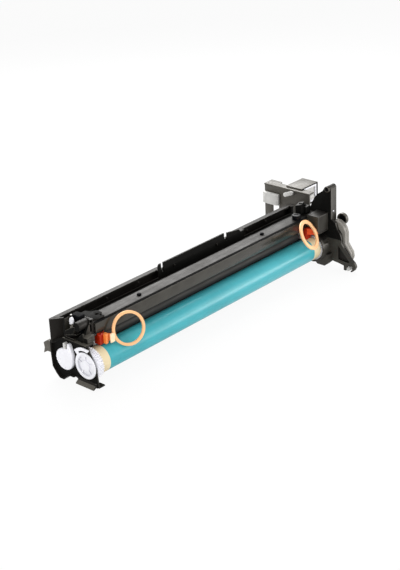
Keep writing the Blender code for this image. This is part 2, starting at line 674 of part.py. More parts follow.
def make_front_plate():
    outline = front_plate_outline()
    plate = prism("front_end_plate", [outline, circle(BEARING_BOSS + GAP, 48),
                                      circle(NECK_RADIUS + RUNNING, 36, (SCREW_Y, 0))],
                  SHEET_THICK, (SHEET_FRONT, 0, 0))
    rim = prism("front_rim", [band(outline[:12], WALL)], RIM_DEPTH, (RIM_FRONT_FACE, 0, 0))
    side = scaled([(0, -17.4), (-2.8, -19.8), (-5.8, -22.1), (-5.8, -23.3), (-4.6, -23.3), (-2, -22),
                   (0, -22)])
    side = [(SHEET_FRONT + 0.2 * MM + u, v) for u, v in side]
    ledge = prism("foot_ledge", [side], 27.2 * MM, (0, 12.6 * MM, 0), TO_MINUS_Y)
    foot = box("foot_tab", (SHEET_FRONT + MM, -16.5 * MM, -23 * MM),
               (SHEET_FRONT + 9.7 * MM, -8.6 * MM, -21.5 * MM))
    lug = prism("rear_lug", [scaled([(50, 14), (56, 14.5), (62.5, 10), (61.5, 4), (63.5, -3), (57, 1),
                                     (50, 1)])], 4 * MM, (RIM_FRONT_FACE, 0, 0))
    corner = HOUSING_FRONT - CORNER_DEPTH
    diagonal = [(corner, HOUSING_BACK), (corner - 1.2 * MM, HOUSING_BACK - 1.8 * MM),
                (HOUSING_FRONT - 4.6 * MM, RIM_FRONT - 2.2 * MM),
                (HOUSING_FRONT - 3.2 * MM, RIM_FRONT - 0.5 * MM)]
    wall = prism("corner_wall", [diagonal], RIM_TOP - 14 * MM, (0, 0, 14 * MM), TO_Z)
    join(plate, rim, ledge, foot, lug, wall)
    cut(plate, rod("plate_hole", 1.4 * MM, 4 * SHEET_THICK,
                   (SHEET_FRONT - SHEET_THICK, -13 * MM, -18.6 * MM), steps=20))


def make_front_bearing():
    """White bearing that holds the drum pin: recessed face, hub, five spokes and a hooked arm."""
    depth = PLATE_BACK - BEARING_FRONT
    bearing = turned("drum_bearing_front", [
        (0, depth), (BEARING_BOSS, depth), (BEARING_BOSS, BEARING_FLANGE),
        (BEARING_RADIUS, BEARING_FLANGE), (BEARING_RADIUS, 0.5 * MM), (BEARING_RADIUS - 0.5 * MM, 0),
        (RECESS_RADIUS + 0.6 * MM, 0), (RECESS_RADIUS, 0.6 * MM),
        (RECESS_RADIUS - 0.2 * MM, RECESS_DEPTH), (0, RECESS_DEPTH)],
        (BEARING_FRONT, 0, 0), finish=WHITE, steps=40)
    for k in range(5):
        angle = 2 * math.pi * k / 5 + 0.3
        spoke = box(f"bearing_spoke_{k}", (0, 0, -0.7 * MM), (2.2 * MM, RECESS_RADIUS, 0.7 * MM))
        spoke.location = (BEARING_FRONT + 2.2 * MM, RECESS_RADIUS / 2 * math.cos(angle),
                          RECESS_RADIUS / 2 * math.sin(angle))
        spoke.rotation_euler = (angle, 0, 0)
        join(bearing, spoke)
    join(bearing, rod("bearing_hub", HUB_RADIUS, RECESS_DEPTH, (BEARING_FRONT + 0.5 * MM, 0, 0)))
    arm = arc(ARM_OUTER, 110, 44, 14) + arc(BEARING_RADIUS - MM, 44, 56, 3)
    arm += arc(ARM_INNER, 58, 106, 10)
    join(bearing, prism("bearing_arm", [arm], BEARING_FLANGE, (BEARING_FRONT, 0, 0)))
    cut(bearing, rod("bearing_bore", PIN_RADIUS + GAP, 2 * depth, (BEARING_FRONT + 1.4 * MM, 0, 0)))


def make_front_block():
    """Moulded block above the front plate."""
    low = PLATE_TOP + GAP
    front, rear = BLOCK_FRONT, BLOCK_REAR
    profile = [(4 * MM, low), (BLOCK_BACK, low), (BLOCK_BACK, 46.5 * MM), (26.5 * MM, 48 * MM),
               (25.5 * MM, 48 * MM), (25.5 * MM, 37 * MM), (15 * MM, 37 * MM), (15 * MM, 43 * MM),
               (13 * MM, 44 * MM), (4 * MM, 44 * MM)]
    block = prism("front_block", [profile], rear - front, (front, 0, 0))
    bar = rod("block_bar", 4.4 * MM, rear - front - 1.2 * MM, (front + 0.6 * MM, 8.6 * MM, 43.6 * MM), steps=32)
    square = box("square_tube", (front - TUBE_REACH, -3.4 * MM, 26 * MM),
                 (front + 15 * MM, 5 * MM, 33.4 * MM))
    pocket_wall = box("pocket_wall", (front + 0.5 * MM, 14.0 * MM, 35.7 * MM),
                      (front + 2.1 * MM, 26.4 * MM, 41.3 * MM))
    cap = box("block_cap", (-14 * MM, 14 * MM, 34 * MM), (rear - MM, 27 * MM, 50 * MM))
    side = box("block_side", (-9.6 * MM, 2.6 * MM, low + GAP), (rear - GAP, 6 * MM, 48 * MM))
    join(block, bar, square, pocket_wall, round_edges(cap, 1.5 * MM), side)
    recess = box("block_recess", (front + 4 * MM, 3 * MM, 35.4 * MM), (-11 * MM, 9 * MM, 40.6 * MM))
    bore = box("square_bore", (front - 6 * MM, -1.6 * MM, 27.6 * MM), (front + 8 * MM, 3 * MM, 31.8 * MM))
    pocket = box("front_pocket", (front - MM, 9 * MM, 28 * MM), (front + 6 * MM, 24 * MM, 34.5 * MM))
    slot = box("side_slot", (-7.6 * MM, 1 * MM, 30 * MM), (-5.2 * MM, 4.4 * MM, 42 * MM))
    cut(block, recess, bore, pocket, slot)
    clip = scaled([(0, 0), (5.8, 0), (5.8, 9), (4.7, 11.8), (2.8, 13), (0.8, 12.2), (0, 11)])
    prism("white_clip", [clip], 2.0 * MM, (front + 4 * MM, 17.3 * MM, 37 * MM + GAP), finish=WHITE)

    plate_low = RAIL_TOP + GAP
    plan = scaled([(-2.5, 7), (4, 3.6), (13.5, 3.6), (13.5, 9), (17.5, 12), (17.5, 19.5), (11, 23),
                   (9, 29), (-2.5, 29)])
    hole = circle(2.2 * MM, 20, (10.4 * MM, 12.6 * MM))
    bracket = prism("rail_bracket", [plan, hole], 1.5 * MM, (0, 0, plate_low), TO_Z)
    leg = box("bracket_leg", (-2.5 * MM, 21 * MM, CHANNEL_FLOOR + GAP), (6 * MM, 23 * MM, plate_low + MM))
    join(bracket, leg)


def tag(name, centre, normal, toward, reach, hole=True):
    """Pull ring with its strap; `toward` is the strap's direction and `reach` its end."""
    normal = Vector(normal).normalized()
    strap = Vector(toward)
    strap = (strap - strap.dot(normal) * normal).normalized()
    across = normal.cross(strap)
    turn = Matrix((strap, across, normal)).transposed()
    half = math.degrees(math.asin(STRAP_WIDTH / 2 / RING_RADIUS))
    outline = [(reach, -STRAP_WIDTH / 2), (reach, STRAP_WIDTH / 2)]
    outline += arc(RING_RADIUS, half, 360 - half, 44)
    at = Vector(centre) - normal * RING_THICK / 2
    return prism(name, [outline, circle(RING_HOLE, 40)], RING_THICK, at, turn, ORANGE)


def retainer_outline(start):
    """Block on top of the drum from an angle on its curve, cut back under the panel."""
    under = arc(DRUM_RADIUS + GAP, start, 74, 8)
    front_y = under[0][0]
    back_y = under[-1][0]
    return under + [(back_y, 26.4 * MM), (0.4 * MM, 27.0 * MM), (0.4 * MM, RETAINER_TOP - MM),
                    (front_y, RETAINER_TOP - 2.4 * MM)]


def make_retainers():
    """Orange pull-out pieces that hold the charge roller off the drum in transport."""
    front = prism("front_retainer", [retainer_outline(104)], RETAINER_WIDTH, (-3 * MM, 0, 0),
                  finish=ORANGE)
    fold = scaled([(6.2, -3.6), (11.8, -8.2), (13.0, -7.4), (13.0, -6.2), (9.0, -1.0), (6.2, -1.0)])
    join(front, prism("front_fold", [fold], 7.6 * MM, (0, 0, 18.9 * MM), TO_Z),
         tag("front_ring", (31.5 * MM, -12.9 * MM, 26.9 * MM), (-0.33, -0.908, 0.259),
             (-1, 0.3, -0.22), 20.6 * MM))
    rear_end = COATED_LENGTH + 9.5 * MM
    rear = prism("rear_retainer", [retainer_outline(96)], RETAINER_WIDTH, (rear_end - RETAINER_WIDTH, 0, 0),
                 finish=ORANGE)
    fold = [(-8.2, -0.8), (-2.4, -12.2), (-0.3, -12.2), (-0.3, -0.8)]
    fold = [(rear_end + u * MM, v * MM) for u, v in fold]
    join(rear, prism("rear_fold", [fold], 8.0 * MM, (0, 0, 21.6 * MM), TO_Z),
         tag("rear_ring", (COATED_LENGTH - 12.7 * MM, -16.0 * MM, 29.5 * MM), (0.238, -0.85, 0.483),
             (1, 0, 0), 21.5 * MM))


def make_rear_plate():
    """Drive end: plate with fin, boss, post, gear shroud, foot lobe, leg and hook."""
    outline = scaled([(20, 42.4), (14.2, 46.3), (10.5, 54.5), (6.2, 62.4), (1, 67.5), (-5.3, 72),
                      (-9, 78), (-18.6, 78), (-18.6, 37), (-25.1, 33.4), (-28.1, 25), (-31.6, 20.9),
                      (-33.8, 16.4), (-34.6, 12.9), (-34.2, 8), (-38, 2.1), (-43.6, -4), (-49.2, -10),
                      (-53.8, -14), (-55.9, -16.8), (-56.4, -19.6), (-54.4, -24), (-50.7, -27),
                      (-48.3, -27), (-51, -23.4), (-51.2, -20.2), (-49, -18.6), (-42.4, -22.4),
                      (-42, -27), (-38.4, -27), (-38.2, -21), (-29.7, -19.4), (-22, -18.6),
                      (-14.4, -16.8), (-10, -20.5), (0, -21), (20, -21.7), (44, -21.7), (49.8, -14),
                      (49.8, 41.9), (41, 41.9), (41, 31.2), (20, 31.2)])
    rear = prism("rear_end_plate", [outline, circle(PIN_RADIUS + GAP, 24),
                                    circle(JOURNAL + RUNNING, 24, (SCREW_Y, 0))],
                 REAR_PLATE, (REAR_FACE, 0, 0))
    post = box("rear_post", (REAR_FACE + MM, POST_FRONT, 20 * MM),
               (REAR_FACE + POST_DEPTH, POST_FRONT + POST_WIDTH, 77.6 * MM))
    boss_at = (REAR_FACE - 2.6 * MM, -14.2 * MM, 76.6 * MM)
    boss = rod("rear_boss", BOSS_RADIUS, POST_DEPTH + 3.4 * MM, boss_at, steps=32)
    join(rear, post, boss)

    shroud_front = DRUM_REAR + 0.4 * MM
    lobe_front = REAR_FACE - 9 * MM
    inner = gear_tip(REAR_TEETH) + 0.6 * MM
    shroud = tube("gear_shroud", SHROUD_RADIUS, inner, REAR_FACE + MM - shroud_front,
                  (shroud_front, 0, 0), steps=44)
    lobe = prism("foot_lobe", [scaled([(3, -18.2), (0, -21), (-4, -24), (-15, -24), (-20.4, -19),
                                       (-20.6, -8), (-17, -7.6), (-13.5, -12.6), (-8, -16.6)])],
                 REAR_FACE + MM - lobe_front, (lobe_front, 0, 0))
    join(rear, shroud, lobe)
    groove = arc(26 * MM, 100, 156, 8) + arc(SHROUD_RADIUS - MM, 156, 100, 8)
    window = prism("shroud_groove", [groove], 7.6 * MM, (REAR_FACE - 11 * MM, 0, 0))
    bore = rod("boss_bore", BOSS_RADIUS - 1.6 * MM, 6 * MM, (boss_at[0] - 3 * MM, boss_at[1], boss_at[2]), steps=24)
    cut(rear, window, bore)


def make_rear_parts():
    block = prism("contact_housing", [scaled([(-11, 22), (2.8, 22), (2.8, 44.6), (1.6, 45.6),
                                              (-11, 44.6)])],
                  REAR_FACE - GAP - CONTACT_FRONT, (CONTACT_FRONT, 0, 0))
    round_edges(block, 0.6 * MM, 1)

    cover = scaled([(-19.2, 34.6), (-26.4, 34.2), (-31.4, 31.4), (-35.2, 26.8), (-37.2, 20.4),
                    (-37.4, 7), (-41.6, 1.2), (-45.4, -4), (-46.2, -10.2), (-44.6, -15), (-30, -17),
                    (10, -19), (40, -20), (47, -10), (47, 18.8), (-19.2, 18.8)])
    rear_cover = prism("rear_cover", [cover, circle(PIN_RADIUS + GAP, 24),
                                      circle(JOURNAL + RUNNING, 24, (SCREW_Y, 0))],
                       COVER_DEPTH, (REAR_FACE + REAR_PLATE + GAP, 0, 0), finish=GREY)
    round_edges(rear_cover, 1.4 * MM, 1, 60)
    boss = rod("rear_drive_boss", BOSS_OUTER, 4.4 * MM, (COVER_BACK + GAP, -25.2 * MM, 36.4 * MM),
               finish=BLACK, chamfer=0.8 * MM)
    cut(boss, rod("drive_bore", BOSS_OUTER - 1.8 * MM, 3.6 * MM, (COVER_BACK - MM, -25.2 * MM, 36.4 * MM)))
    rod("hook_pin", 2.4 * MM, 9 * MM, (REAR_FACE - 3 * MM, -47.0 * MM, -22.8 * MM), finish=WHITE,
        chamfer=0.5 * MM, steps=24)

    post_front = REAR_FACE - 19 * MM
    rail_block = box("rail_post", (post_front, 10.6 * MM, RAIL_TOP + GAP),
                     (post_front + 9 * MM, 19.8 * MM, 58.5 * MM))
    cut(rail_block, box("post_slot", (post_front + 2 * MM, 12.8 * MM, 54 * MM),
                        (post_front + 7 * MM, 17.4 * MM, 60 * MM)))
    turned("rail_cap", [(0, 4.6 * MM), (3.0 * MM, 4.3 * MM), (4.6 * MM, 3.2 * MM), (5.2 * MM, 1.6 * MM),
                        (5.2 * MM, 0), (0, 0)],
           (REAR_FACE - 34.4 * MM, 8.8 * MM, RAIL_TOP + GAP), TO_Z, GLOSS_BLACK, 32)


def make_bracket():
    """Folded sheet at the rear with the connector box, its insert, the latch and the oval pin."""
    top, front, back = BRACKET_TOP, BRACKET_FRONT, BRACKET_BACK
    base = -BASE_DROP
    outline = [(front, top), (front, 4 * MM), (front + 22 * MM, base + 20 * MM),
               (back - 22 * MM, base + 20 * MM), (back - 12 * MM, base), (back, base),
               (back, top - 3 * MM), (back - 3 * MM, top)]
    window = scaled([(75.8, 14), (86, 14), (86, 31), (75.8, 31)])
    bracket = prism("rear_bracket", [outline, window], BRACKET_THICK, (BRACKET_FACE, 0, 0),
                    finish=BRACKET_GREY)
    flanges = []
    for name, start, end in (("front_flange", front, BOX_FRONT - GAP),
                             ("back_flange", BOX_FRONT + BOX_WIDTH + GAP, back - 3 * MM)):
        flanges.append(box(name, (BRACKET_FACE + 0.2 * MM, start, top - BRACKET_THICK),
                           (BRACKET_FACE + 6 * MM, end, top)))
    foot = box("bracket_foot", (BRACKET_FACE + 0.2 * MM, back - 12 * MM, base),
               (BRACKET_FACE + 14 * MM, back, base + BRACKET_THICK))
    tab = box("upper_tab", (BRACKET_FACE + 4 * MM, 70 * MM, top - MM), (BRACKET_FACE + 7 * MM, 88 * MM, top + 4.6 * MM))
    arm = box("bracket_arm", (REAR_FACE + REAR_PLATE + COVER_DEPTH + 2 * GAP, front + 3 * MM, -6 * MM),
              (BRACKET_FACE + 0.5 * MM, front + 9 * MM, 14 * MM))
    join(bracket, *flanges, foot, tab, arm)

    box_top = top + 0.4 * MM
    box_low = (BRACKET_REAR + GAP, BOX_FRONT, box_top - BOX_HEIGHT)
    box_high = (BOX_REAR, BOX_FRONT + BOX_WIDTH, box_top)
    case = box("connector_box", box_low, box_high, BRACKET_GREY)
    inner_low = (box_low[0] + BOX_WALL, box_low[1] - MM, box_low[2] + BOX_WALL)
    inner_high = (box_high[0] - BOX_WALL, box_high[1] - BOX_WALL, box_high[2] - BOX_WALL)
    cut(case, box("box_space", inner_low, inner_high))
    box("connector_insert", (inner_low[0] + GAP, box_low[1] + 0.8 * MM, inner_low[2] + GAP),
        (inner_high[0] - GAP, inner_high[1] - 3 * MM, inner_high[2] - GAP), WHITE)

    latch = scaled([(0, 74), (-3, 74), (-5, 78), (-5, 94), (-4, 98.6), (-2, 100.6), (0, 101)])
    prism("connector_latch", [latch], 15 * MM, (BRACKET_FACE - GAP, 0, 31 * MM), TO_Z, WHITE)
    pin = arc(2.7 * MM, -112, 68, 10, (62.5 * MM, 49 * MM))
    pin += arc(2.7 * MM, 68, 248, 10, (52.1 * MM, 53.2 * MM))
    prism("guide_pin", [pin], 8 * MM, (BRACKET_FACE - GAP - 8 * MM, 0, 0), finish=WHITE)


make_drum()
make_waste_screw()
make_screw_cap()
make_charge_roller()
make_housing()
make_panel()
make_cleaning_blade()
make_front_plate()
make_front_bearing()
make_front_block()
make_retainers()
make_rear_plate()
make_rear_parts()
make_bracket()
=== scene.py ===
"""Finished look of the printer drum unit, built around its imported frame."""
import math

import bmesh
import bpy
from mathutils import Matrix, Vector


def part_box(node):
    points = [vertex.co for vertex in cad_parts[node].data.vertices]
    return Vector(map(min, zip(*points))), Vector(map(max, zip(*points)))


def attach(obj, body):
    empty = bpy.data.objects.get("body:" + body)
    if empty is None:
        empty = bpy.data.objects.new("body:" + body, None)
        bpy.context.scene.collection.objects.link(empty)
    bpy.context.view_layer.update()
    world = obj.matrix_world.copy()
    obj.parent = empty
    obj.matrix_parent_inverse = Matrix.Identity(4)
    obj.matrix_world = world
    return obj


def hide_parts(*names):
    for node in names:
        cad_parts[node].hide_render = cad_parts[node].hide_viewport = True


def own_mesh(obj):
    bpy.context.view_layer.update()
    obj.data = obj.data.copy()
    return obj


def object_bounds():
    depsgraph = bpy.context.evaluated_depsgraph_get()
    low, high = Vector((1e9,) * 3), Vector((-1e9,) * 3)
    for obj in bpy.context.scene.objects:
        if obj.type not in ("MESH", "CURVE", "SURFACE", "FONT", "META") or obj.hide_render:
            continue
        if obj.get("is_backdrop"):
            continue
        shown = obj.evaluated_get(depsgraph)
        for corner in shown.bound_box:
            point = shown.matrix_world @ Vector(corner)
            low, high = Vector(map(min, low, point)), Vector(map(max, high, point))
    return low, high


bl_info = {
    "name": "Printer drum unit",
    "version": (1, 0, 0),
    "blender": (4, 5, 0),
    "location": "3D View > Sidebar > Drum unit",
    "description": "Builds the finished pieces of a printer drum unit on its packed frame",
    "category": "Object",
}

MM = 0.001
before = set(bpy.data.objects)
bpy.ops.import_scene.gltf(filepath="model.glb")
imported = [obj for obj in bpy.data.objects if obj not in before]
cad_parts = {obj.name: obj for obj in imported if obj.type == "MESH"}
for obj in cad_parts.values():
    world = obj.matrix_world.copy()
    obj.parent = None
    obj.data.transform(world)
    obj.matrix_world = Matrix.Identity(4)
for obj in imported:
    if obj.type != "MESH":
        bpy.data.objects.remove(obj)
CAD_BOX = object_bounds()

# The drum's frame: Y and Z are 0 on the drum's axis, and X is 0 where the coating starts.
# Places and sizes of pieces are given in it, in mm.
COATING_START = 11.0 * MM
COATED_LENGTH = 359.0 * MM
TUBE_LOW, TUBE_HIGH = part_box("drum_tube")
AXIS = Vector((TUBE_LOW.x + COATING_START, (TUBE_LOW.y + TUBE_HIGH.y) / 2,
               (TUBE_LOW.z + TUBE_HIGH.z) / 2))

MERGE = 1e-6                # doubles of a copied node lie closer than this, in metres
FLAT = math.radians(0.4)    # faces of a copied node that turn by less are one face
SMOOTH = math.radians(35.0)
WARM = (1.0, 0.955, 0.89)   # tint of the plastics' reflections


def paint(red, green, blue):
    """Screen colour, 0 to 255, as the shader's linear colour."""
    linear = []
    for value in (red / 255, green / 255, blue / 255):
        linear.append(value / 12.92 if value < 0.04045 else ((value + 0.055) / 1.055) ** 2.4)
    return tuple(linear)


def colour_property(name, description, red, green, blue):
    return bpy.props.FloatVectorProperty(name=name, description=description, subtype="COLOR",
                                         size=3, min=0.0, max=1.0,
                                         default=paint(red, green, blue))


def number_property(name, description, default, **limits):
    return bpy.props.FloatProperty(name=name, description=description, default=default, **limits)


class DrumUnitColours(bpy.types.PropertyGroup):
    """Colours of the finishes."""
    black: colour_property("Black plastic", "Housing and end plates", 21, 19, 17)
    # painted shade: a darker, duller copy of the black plastic for faces that lie in shade, picked
    # by the way they turn
    sparked: colour_property("Sparked black", "Painted shade on faces of the end plates and housing", 15, 15, 14)
    # painted light: a lighter, shinier copy of the black plastic for forward faces that catch the
    # light
    satin: colour_property("Satin black", "Painted light on forward faces of posts, the leg and the contact housing", 44, 42, 37)
    # painted highlight: a pale copy of the black plastic for lit ledges, rims, lugs and facets
    rubbed: colour_property("Rubbed black", "Painted highlight on ledges, rims and facets of the front end", 84, 81, 75)
    # painted highlight: the strap is a paler copy of the retainer's orange
    strap: colour_property("Strap", "Painted highlight on the strap of the front pull ring", 253, 226, 188)
    # painted shade: a greyer copy of the white for the wall of the bearing's recess
    hollow: colour_property("White recess", "Painted shade on the wall of the bearing's recess", 178, 178, 186)
    gloss: colour_property("Smooth black", "Panel over the charge roller", 52, 50, 45)
    rubber: colour_property("Roller rubber", "Charge roller", 30, 30, 30)
    coating: colour_property("Drum coating", "Photosensitive layer", 66, 168, 178)
    bare_end: colour_property("Drum ends", "Bare bands at both ends of the drum", 236, 218, 178)
    white: colour_property("White plastic", "Bearing, cap and gears", 236, 236, 241)
    # partly the retainer's own red-orange, darkened as painted shade on its block
    block: colour_property("Retainer", "A retainer's red-orange, darkened as painted shade on its block", 176, 38, 8)
    # painted light: a lighter copy of the retainer's orange on the rear retainer's front faces
    bright: colour_property("Rear fold", "Painted light on the front faces of the rear retainer", 236, 78, 22)
    # painted light: a lighter copy of the retainer's orange on the front fold
    fold: colour_property("Fold", "Painted light on the fold in front of the block", 250, 138, 62)
    ring: colour_property("Pull ring", "Pull rings of the retainers", 252, 194, 138)
    steel: colour_property("Steel", "Screws and shafts", 190, 188, 184)
    cover: colour_property("Rear cover", "Light grey cover at the drive end", 124, 121, 115)
    sheet: colour_property("Bracket", "Grey bracket and connector box", 66, 63, 57)
    # pale plastic of the insert, latch and pins, also a pale strip on the front block's cap as a
    # painted highlight
    insert: colour_property("Insert", "Pale insert, latch and pins, and a painted highlight on the front block's cap", 196, 195, 192)
    blade: colour_property("Blade", "Cleaning blade", 196, 170, 120)
    # deep black of the cap and screws, also painted shade: near-black strips, floors and backings
    # in gaps, holes and recesses
    dark: colour_property("Dark plastic", "Deep black cap and screws, and painted shade in gaps and holes", 10, 11, 14)


class DrumUnitSizes(bpy.types.PropertyGroup):
    """Sizes of the finish."""
    edge: number_property("Edge radius", "Rounding of moulded edges", 0.35 * MM,
                          min=0.05 * MM, max=1.5 * MM, unit="LENGTH")
    grain: number_property("Grain depth", "Depth of the moulded grain", 0.03 * MM,
                           min=0.0, max=0.3 * MM, unit="LENGTH")


class DrumUnitStage(bpy.types.PropertyGroup):
    """Light and camera."""
    lens: number_property("Lens", "Focal length at a 36 mm tall image", 82.105,
                          min=20.0, max=300.0)
    above: number_property("Light above", "Power of the large light above", 19.0,
                           min=0.0, subtype="POWER")
    front: number_property("Light in front", "Power of the low light in front", 7.5,
                           min=0.0, subtype="POWER")
    side: number_property("Light at the side", "Power of the fill at the front end", 5.0,
                          min=0.0, subtype="POWER")
    low: number_property("Light near the floor",
                         "Power of the strip that glints on upright faces", 9.0,
                         min=0.0, subtype="POWER")
    sky: number_property("Sky", "Strength of the even light all round", 0.5, min=0.0)


class Term:
    """A shader output that takes part in Python sums; each operation adds its Math node."""

    def __init__(self, nodes, output):
        self.nodes = nodes
        self.output = output

    def math(self, operation, other):
        return self.nodes.node("Math", {"operation": operation}, {0: self, 1: other})

    def __add__(self, other):
        return self.math("ADD", other)

    def __mul__(self, other):
        return self.math("MULTIPLY", other)

    __radd__ = __add__
    __rmul__ = __mul__

    def ease(self, low, high, start=0.0, end=1.0):
        """Runs smoothly from start at low to end at high."""
        return self.nodes.node("MapRange", {"interpolation_type": "SMOOTHSTEP", "clamp": True},
                               {0: self, 1: low, 2: high, 3: start, 4: end})


class Nodes:
    """A node tree and the method that makes its nodes."""

    def __init__(self, tree):
        self.tree = tree

    def feed(self, socket, value):
        if isinstance(value, Term):
            self.tree.links.new(value.output, socket)
        elif socket.type == "RGBA" and len(value) == 3:
            socket.default_value = (*value, 1.0)
        else:
            socket.default_value = value

    def node(self, kind, settings=None, inputs=None, output=0):
        """Any node: its type, its settings, the values or links of its sockets."""
        made = self.tree.nodes.new("ShaderNode" + kind)
        for key, value in (settings or {}).items():
            setattr(made, key, value)
        for key, value in (inputs or {}).items():
            self.feed(made.inputs[key], value)
        return Term(self, made.outputs[output])

    def seen(self):
        """1 for rays that show the background: camera, glossy and transmission rays."""
        camera, glossy, through = (
            self.node("LightPath", output=kind)
            for kind in ("Is Camera Ray", "Is Glossy Ray", "Is Transmission Ray"))
        return camera.math("MAXIMUM", glossy.math("MAXIMUM", through))


class Surface(Nodes):
    """One material and the patterns that feed its shader."""

    def __init__(self, name, **shader):
        self.material = bpy.data.materials.new(name)
        self.material.use_nodes = True
        super().__init__(self.material.node_tree)
        self.shader = self.tree.nodes["Principled BSDF"]
        for socket, value in shader.items():
            self.set(socket.replace("_", " "), value)

    def set(self, socket, value):
        self.feed(self.shader.inputs[socket], value)

    def place(self):
        """Object coordinates."""
        return self.node("TexCoord", output="Object")

    def noise(self, scale, detail=2.0, stretch=None):
        """Noise on Object coordinates, multiplied along each axis for grain that runs one way."""
        point = self.place()
        if stretch:
            point = self.node("VectorMath", {"operation": "MULTIPLY"}, {0: point, 1: stretch})
        return self.node("TexNoise", None, {"Vector": point, "Scale": scale, "Detail": detail,
                                            "Roughness": 0.5})

    def mix(self, share, first, second):
        return self.node("Mix", {"data_type": "RGBA"}, {0: share, 6: first, 7: second}, 2)

    def bump(self, height, distance):
        self.set("Normal", self.node("Bump", None, {"Height": height, "Distance": distance,
                                                    "Strength": 1.0}))


def shade(colour, amount):
    """A lighter or darker colour."""
    return tuple(min(value * amount, 1.0) for value in colour)


def moulded(name, colour, rough, grain, specular, spread):
    """Injection moulded plastic: fine sparked grain, faint flow clouds and rubbed patches."""
    surface = Surface(name, Specular_IOR_Level=specular, Specular_Tint=WARM)
    cloud = surface.noise(scale=45.0, detail=3.0)
    streak = surface.noise(scale=6.0, detail=3.0, stretch=(6.0, 60.0, 60.0))
    speck = surface.noise(scale=900.0)
    clouded = surface.mix(cloud.ease(0.35, 0.7), shade(colour, 1 - spread),
                          shade(colour, 1 + spread))
    surface.set("Base Color", surface.mix(streak.ease(0.45, 0.75, end=0.35), clouded,
                                          shade(colour, 1 + 2 * spread)))
    surface.set("Roughness", cloud.ease(0.3, 0.75, rough - 0.05, rough + 0.07)
                + streak.ease(0.5, 0.8, end=-0.06))
    surface.bump(speck + cloud * 0.3, grain)
    return surface.material


def ring_finish(colours, grain):
    surface = Surface("pull_ring", Roughness=0.38, Specular_IOR_Level=0.4)
    cloud = surface.noise(scale=60.0)
    surface.set("Base Color", surface.mix(cloud.ease(0.3, 0.7), shade(colours.ring, 0.92),
                                          colours.ring))
    surface.bump(surface.noise(scale=700.0), grain * 0.3)
    return surface.material


def steel_finish(colours, grain):
    surface = Surface("steel", Metallic=1.0, Roughness=0.3)
    brushed = surface.noise(scale=120.0, detail=3.0, stretch=(1.0, 12.0, 12.0))
    surface.set("Base Color", surface.mix(brushed, shade(colours.steel, 0.8), colours.steel))
    surface.set("Roughness", brushed.ease(0.3, 0.7, 0.24, 0.4))
    surface.bump(brushed, grain * 0.2)
    return surface.material


def drum_finish(colours, grain):
    """Cyan coating with faint turning lines, and a bare band at each end."""
    surface = Surface("drum_coating", Specular_IOR_Level=0.25, Coat_Roughness=0.16, Coat_IOR=1.5)
    along = surface.node("SeparateXYZ", None, {0: surface.place()})
    start, end, border = AXIS.x, AXIS.x + COATED_LENGTH, 0.3 * MM
    coated = (along.ease(start - border, start + border)
              * along.ease(end - border, end + border, 1.0, 0.0))
    turning = surface.noise(scale=5.0, detail=3.0, stretch=(90.0, 1.0, 1.0))
    cloud = surface.noise(scale=28.0, detail=3.0, stretch=(0.4, 1.0, 1.0))
    layer = surface.mix(cloud.ease(0.3, 0.75), shade(colours.coating, 0.9),
                        shade(colours.coating, 1.08))
    layer = surface.mix(turning.ease(0.45, 0.8, end=0.25), layer, shade(colours.coating, 1.18))
    bare = surface.mix(turning, shade(colours.bare_end, 0.93), colours.bare_end)
    surface.set("Base Color", surface.mix(coated, bare, layer))
    surface.set("Roughness", coated.ease(0.0, 1.0, 0.45, 0.36) + turning * 0.05)
    surface.set("Coat Weight", coated * 0.12)
    surface.bump(turning, grain * 0.15)
    return surface.material


# finish: material, colour, roughness, share of the grain, specular level, spread of the shade
MOULDED = {
    "black": ("black_plastic", "black", 0.5, 1.0, 0.2, 0.13),
    # painted shade: a darker, duller copy of the black
    "sparked": ("sparked_black", "sparked", 0.7, 1.0, 0.06, 0.13),
    # painted light: a lighter, shinier copy of the black
    "satin": ("satin_black", "satin", 0.5, 0.6, 0.4, 0.13),
    # painted highlight: a pale copy of the black
    "rubbed": ("rubbed_black", "rubbed", 0.55, 0.6, 0.25, 0.13),
    "strap": ("pale_strap", "strap", 0.4, 0.2, 0.3, 0.03),
    # painted shade: a greyer copy of the white
    "hollow": ("white_recess", "hollow", 0.5, 0.2, 0.3, 0.03),
    "gloss": ("smooth_black", "gloss", 0.2, 0.15, 0.45, 0.13),
    "white": ("white_plastic", "white", 0.42, 0.2, 0.4, 0.025),
    # the retainer's orange darkened as painted shade, then lighter copies of it as painted light
    "block": ("orange_plastic", "block", 0.4, 0.4, 0.2, 0.13),
    "bright": ("orange_bright", "bright", 0.3, 0.4, 0.3, 0.13),
    "fold": ("orange_fold", "fold", 0.36, 0.4, 0.4, 0.13),
    "cover": ("rear_cover", "cover", 0.5, 1.0, 0.4, 0.13),
    "sheet": ("bracket_grey", "sheet", 0.42, 0.6, 0.45, 0.13),
    # pale plastic, also used for a painted highlight
    "insert": ("pale_plastic", "insert", 0.45, 0.4, 0.4, 0.13),
    "blade": ("blade_urethane", "blade", 0.5, 0.3, 0.4, 0.13),
    "dark_gloss": ("dark_gloss", "dark", 0.3, 0.2, 0.1, 0.13),
    # near-black plastic, also used as painted shade
    "dark": ("dark_plastic", "dark", 0.6, 0.5, 0.03, 0.13),
    "rubber": ("roller_rubber", "rubber", 0.6, 0.5, 0.2, 0.13),
}

FINISHES = {}       # name of a finish: its material
FINISHED = {}       # name of a CAD node: the piece that carries it on


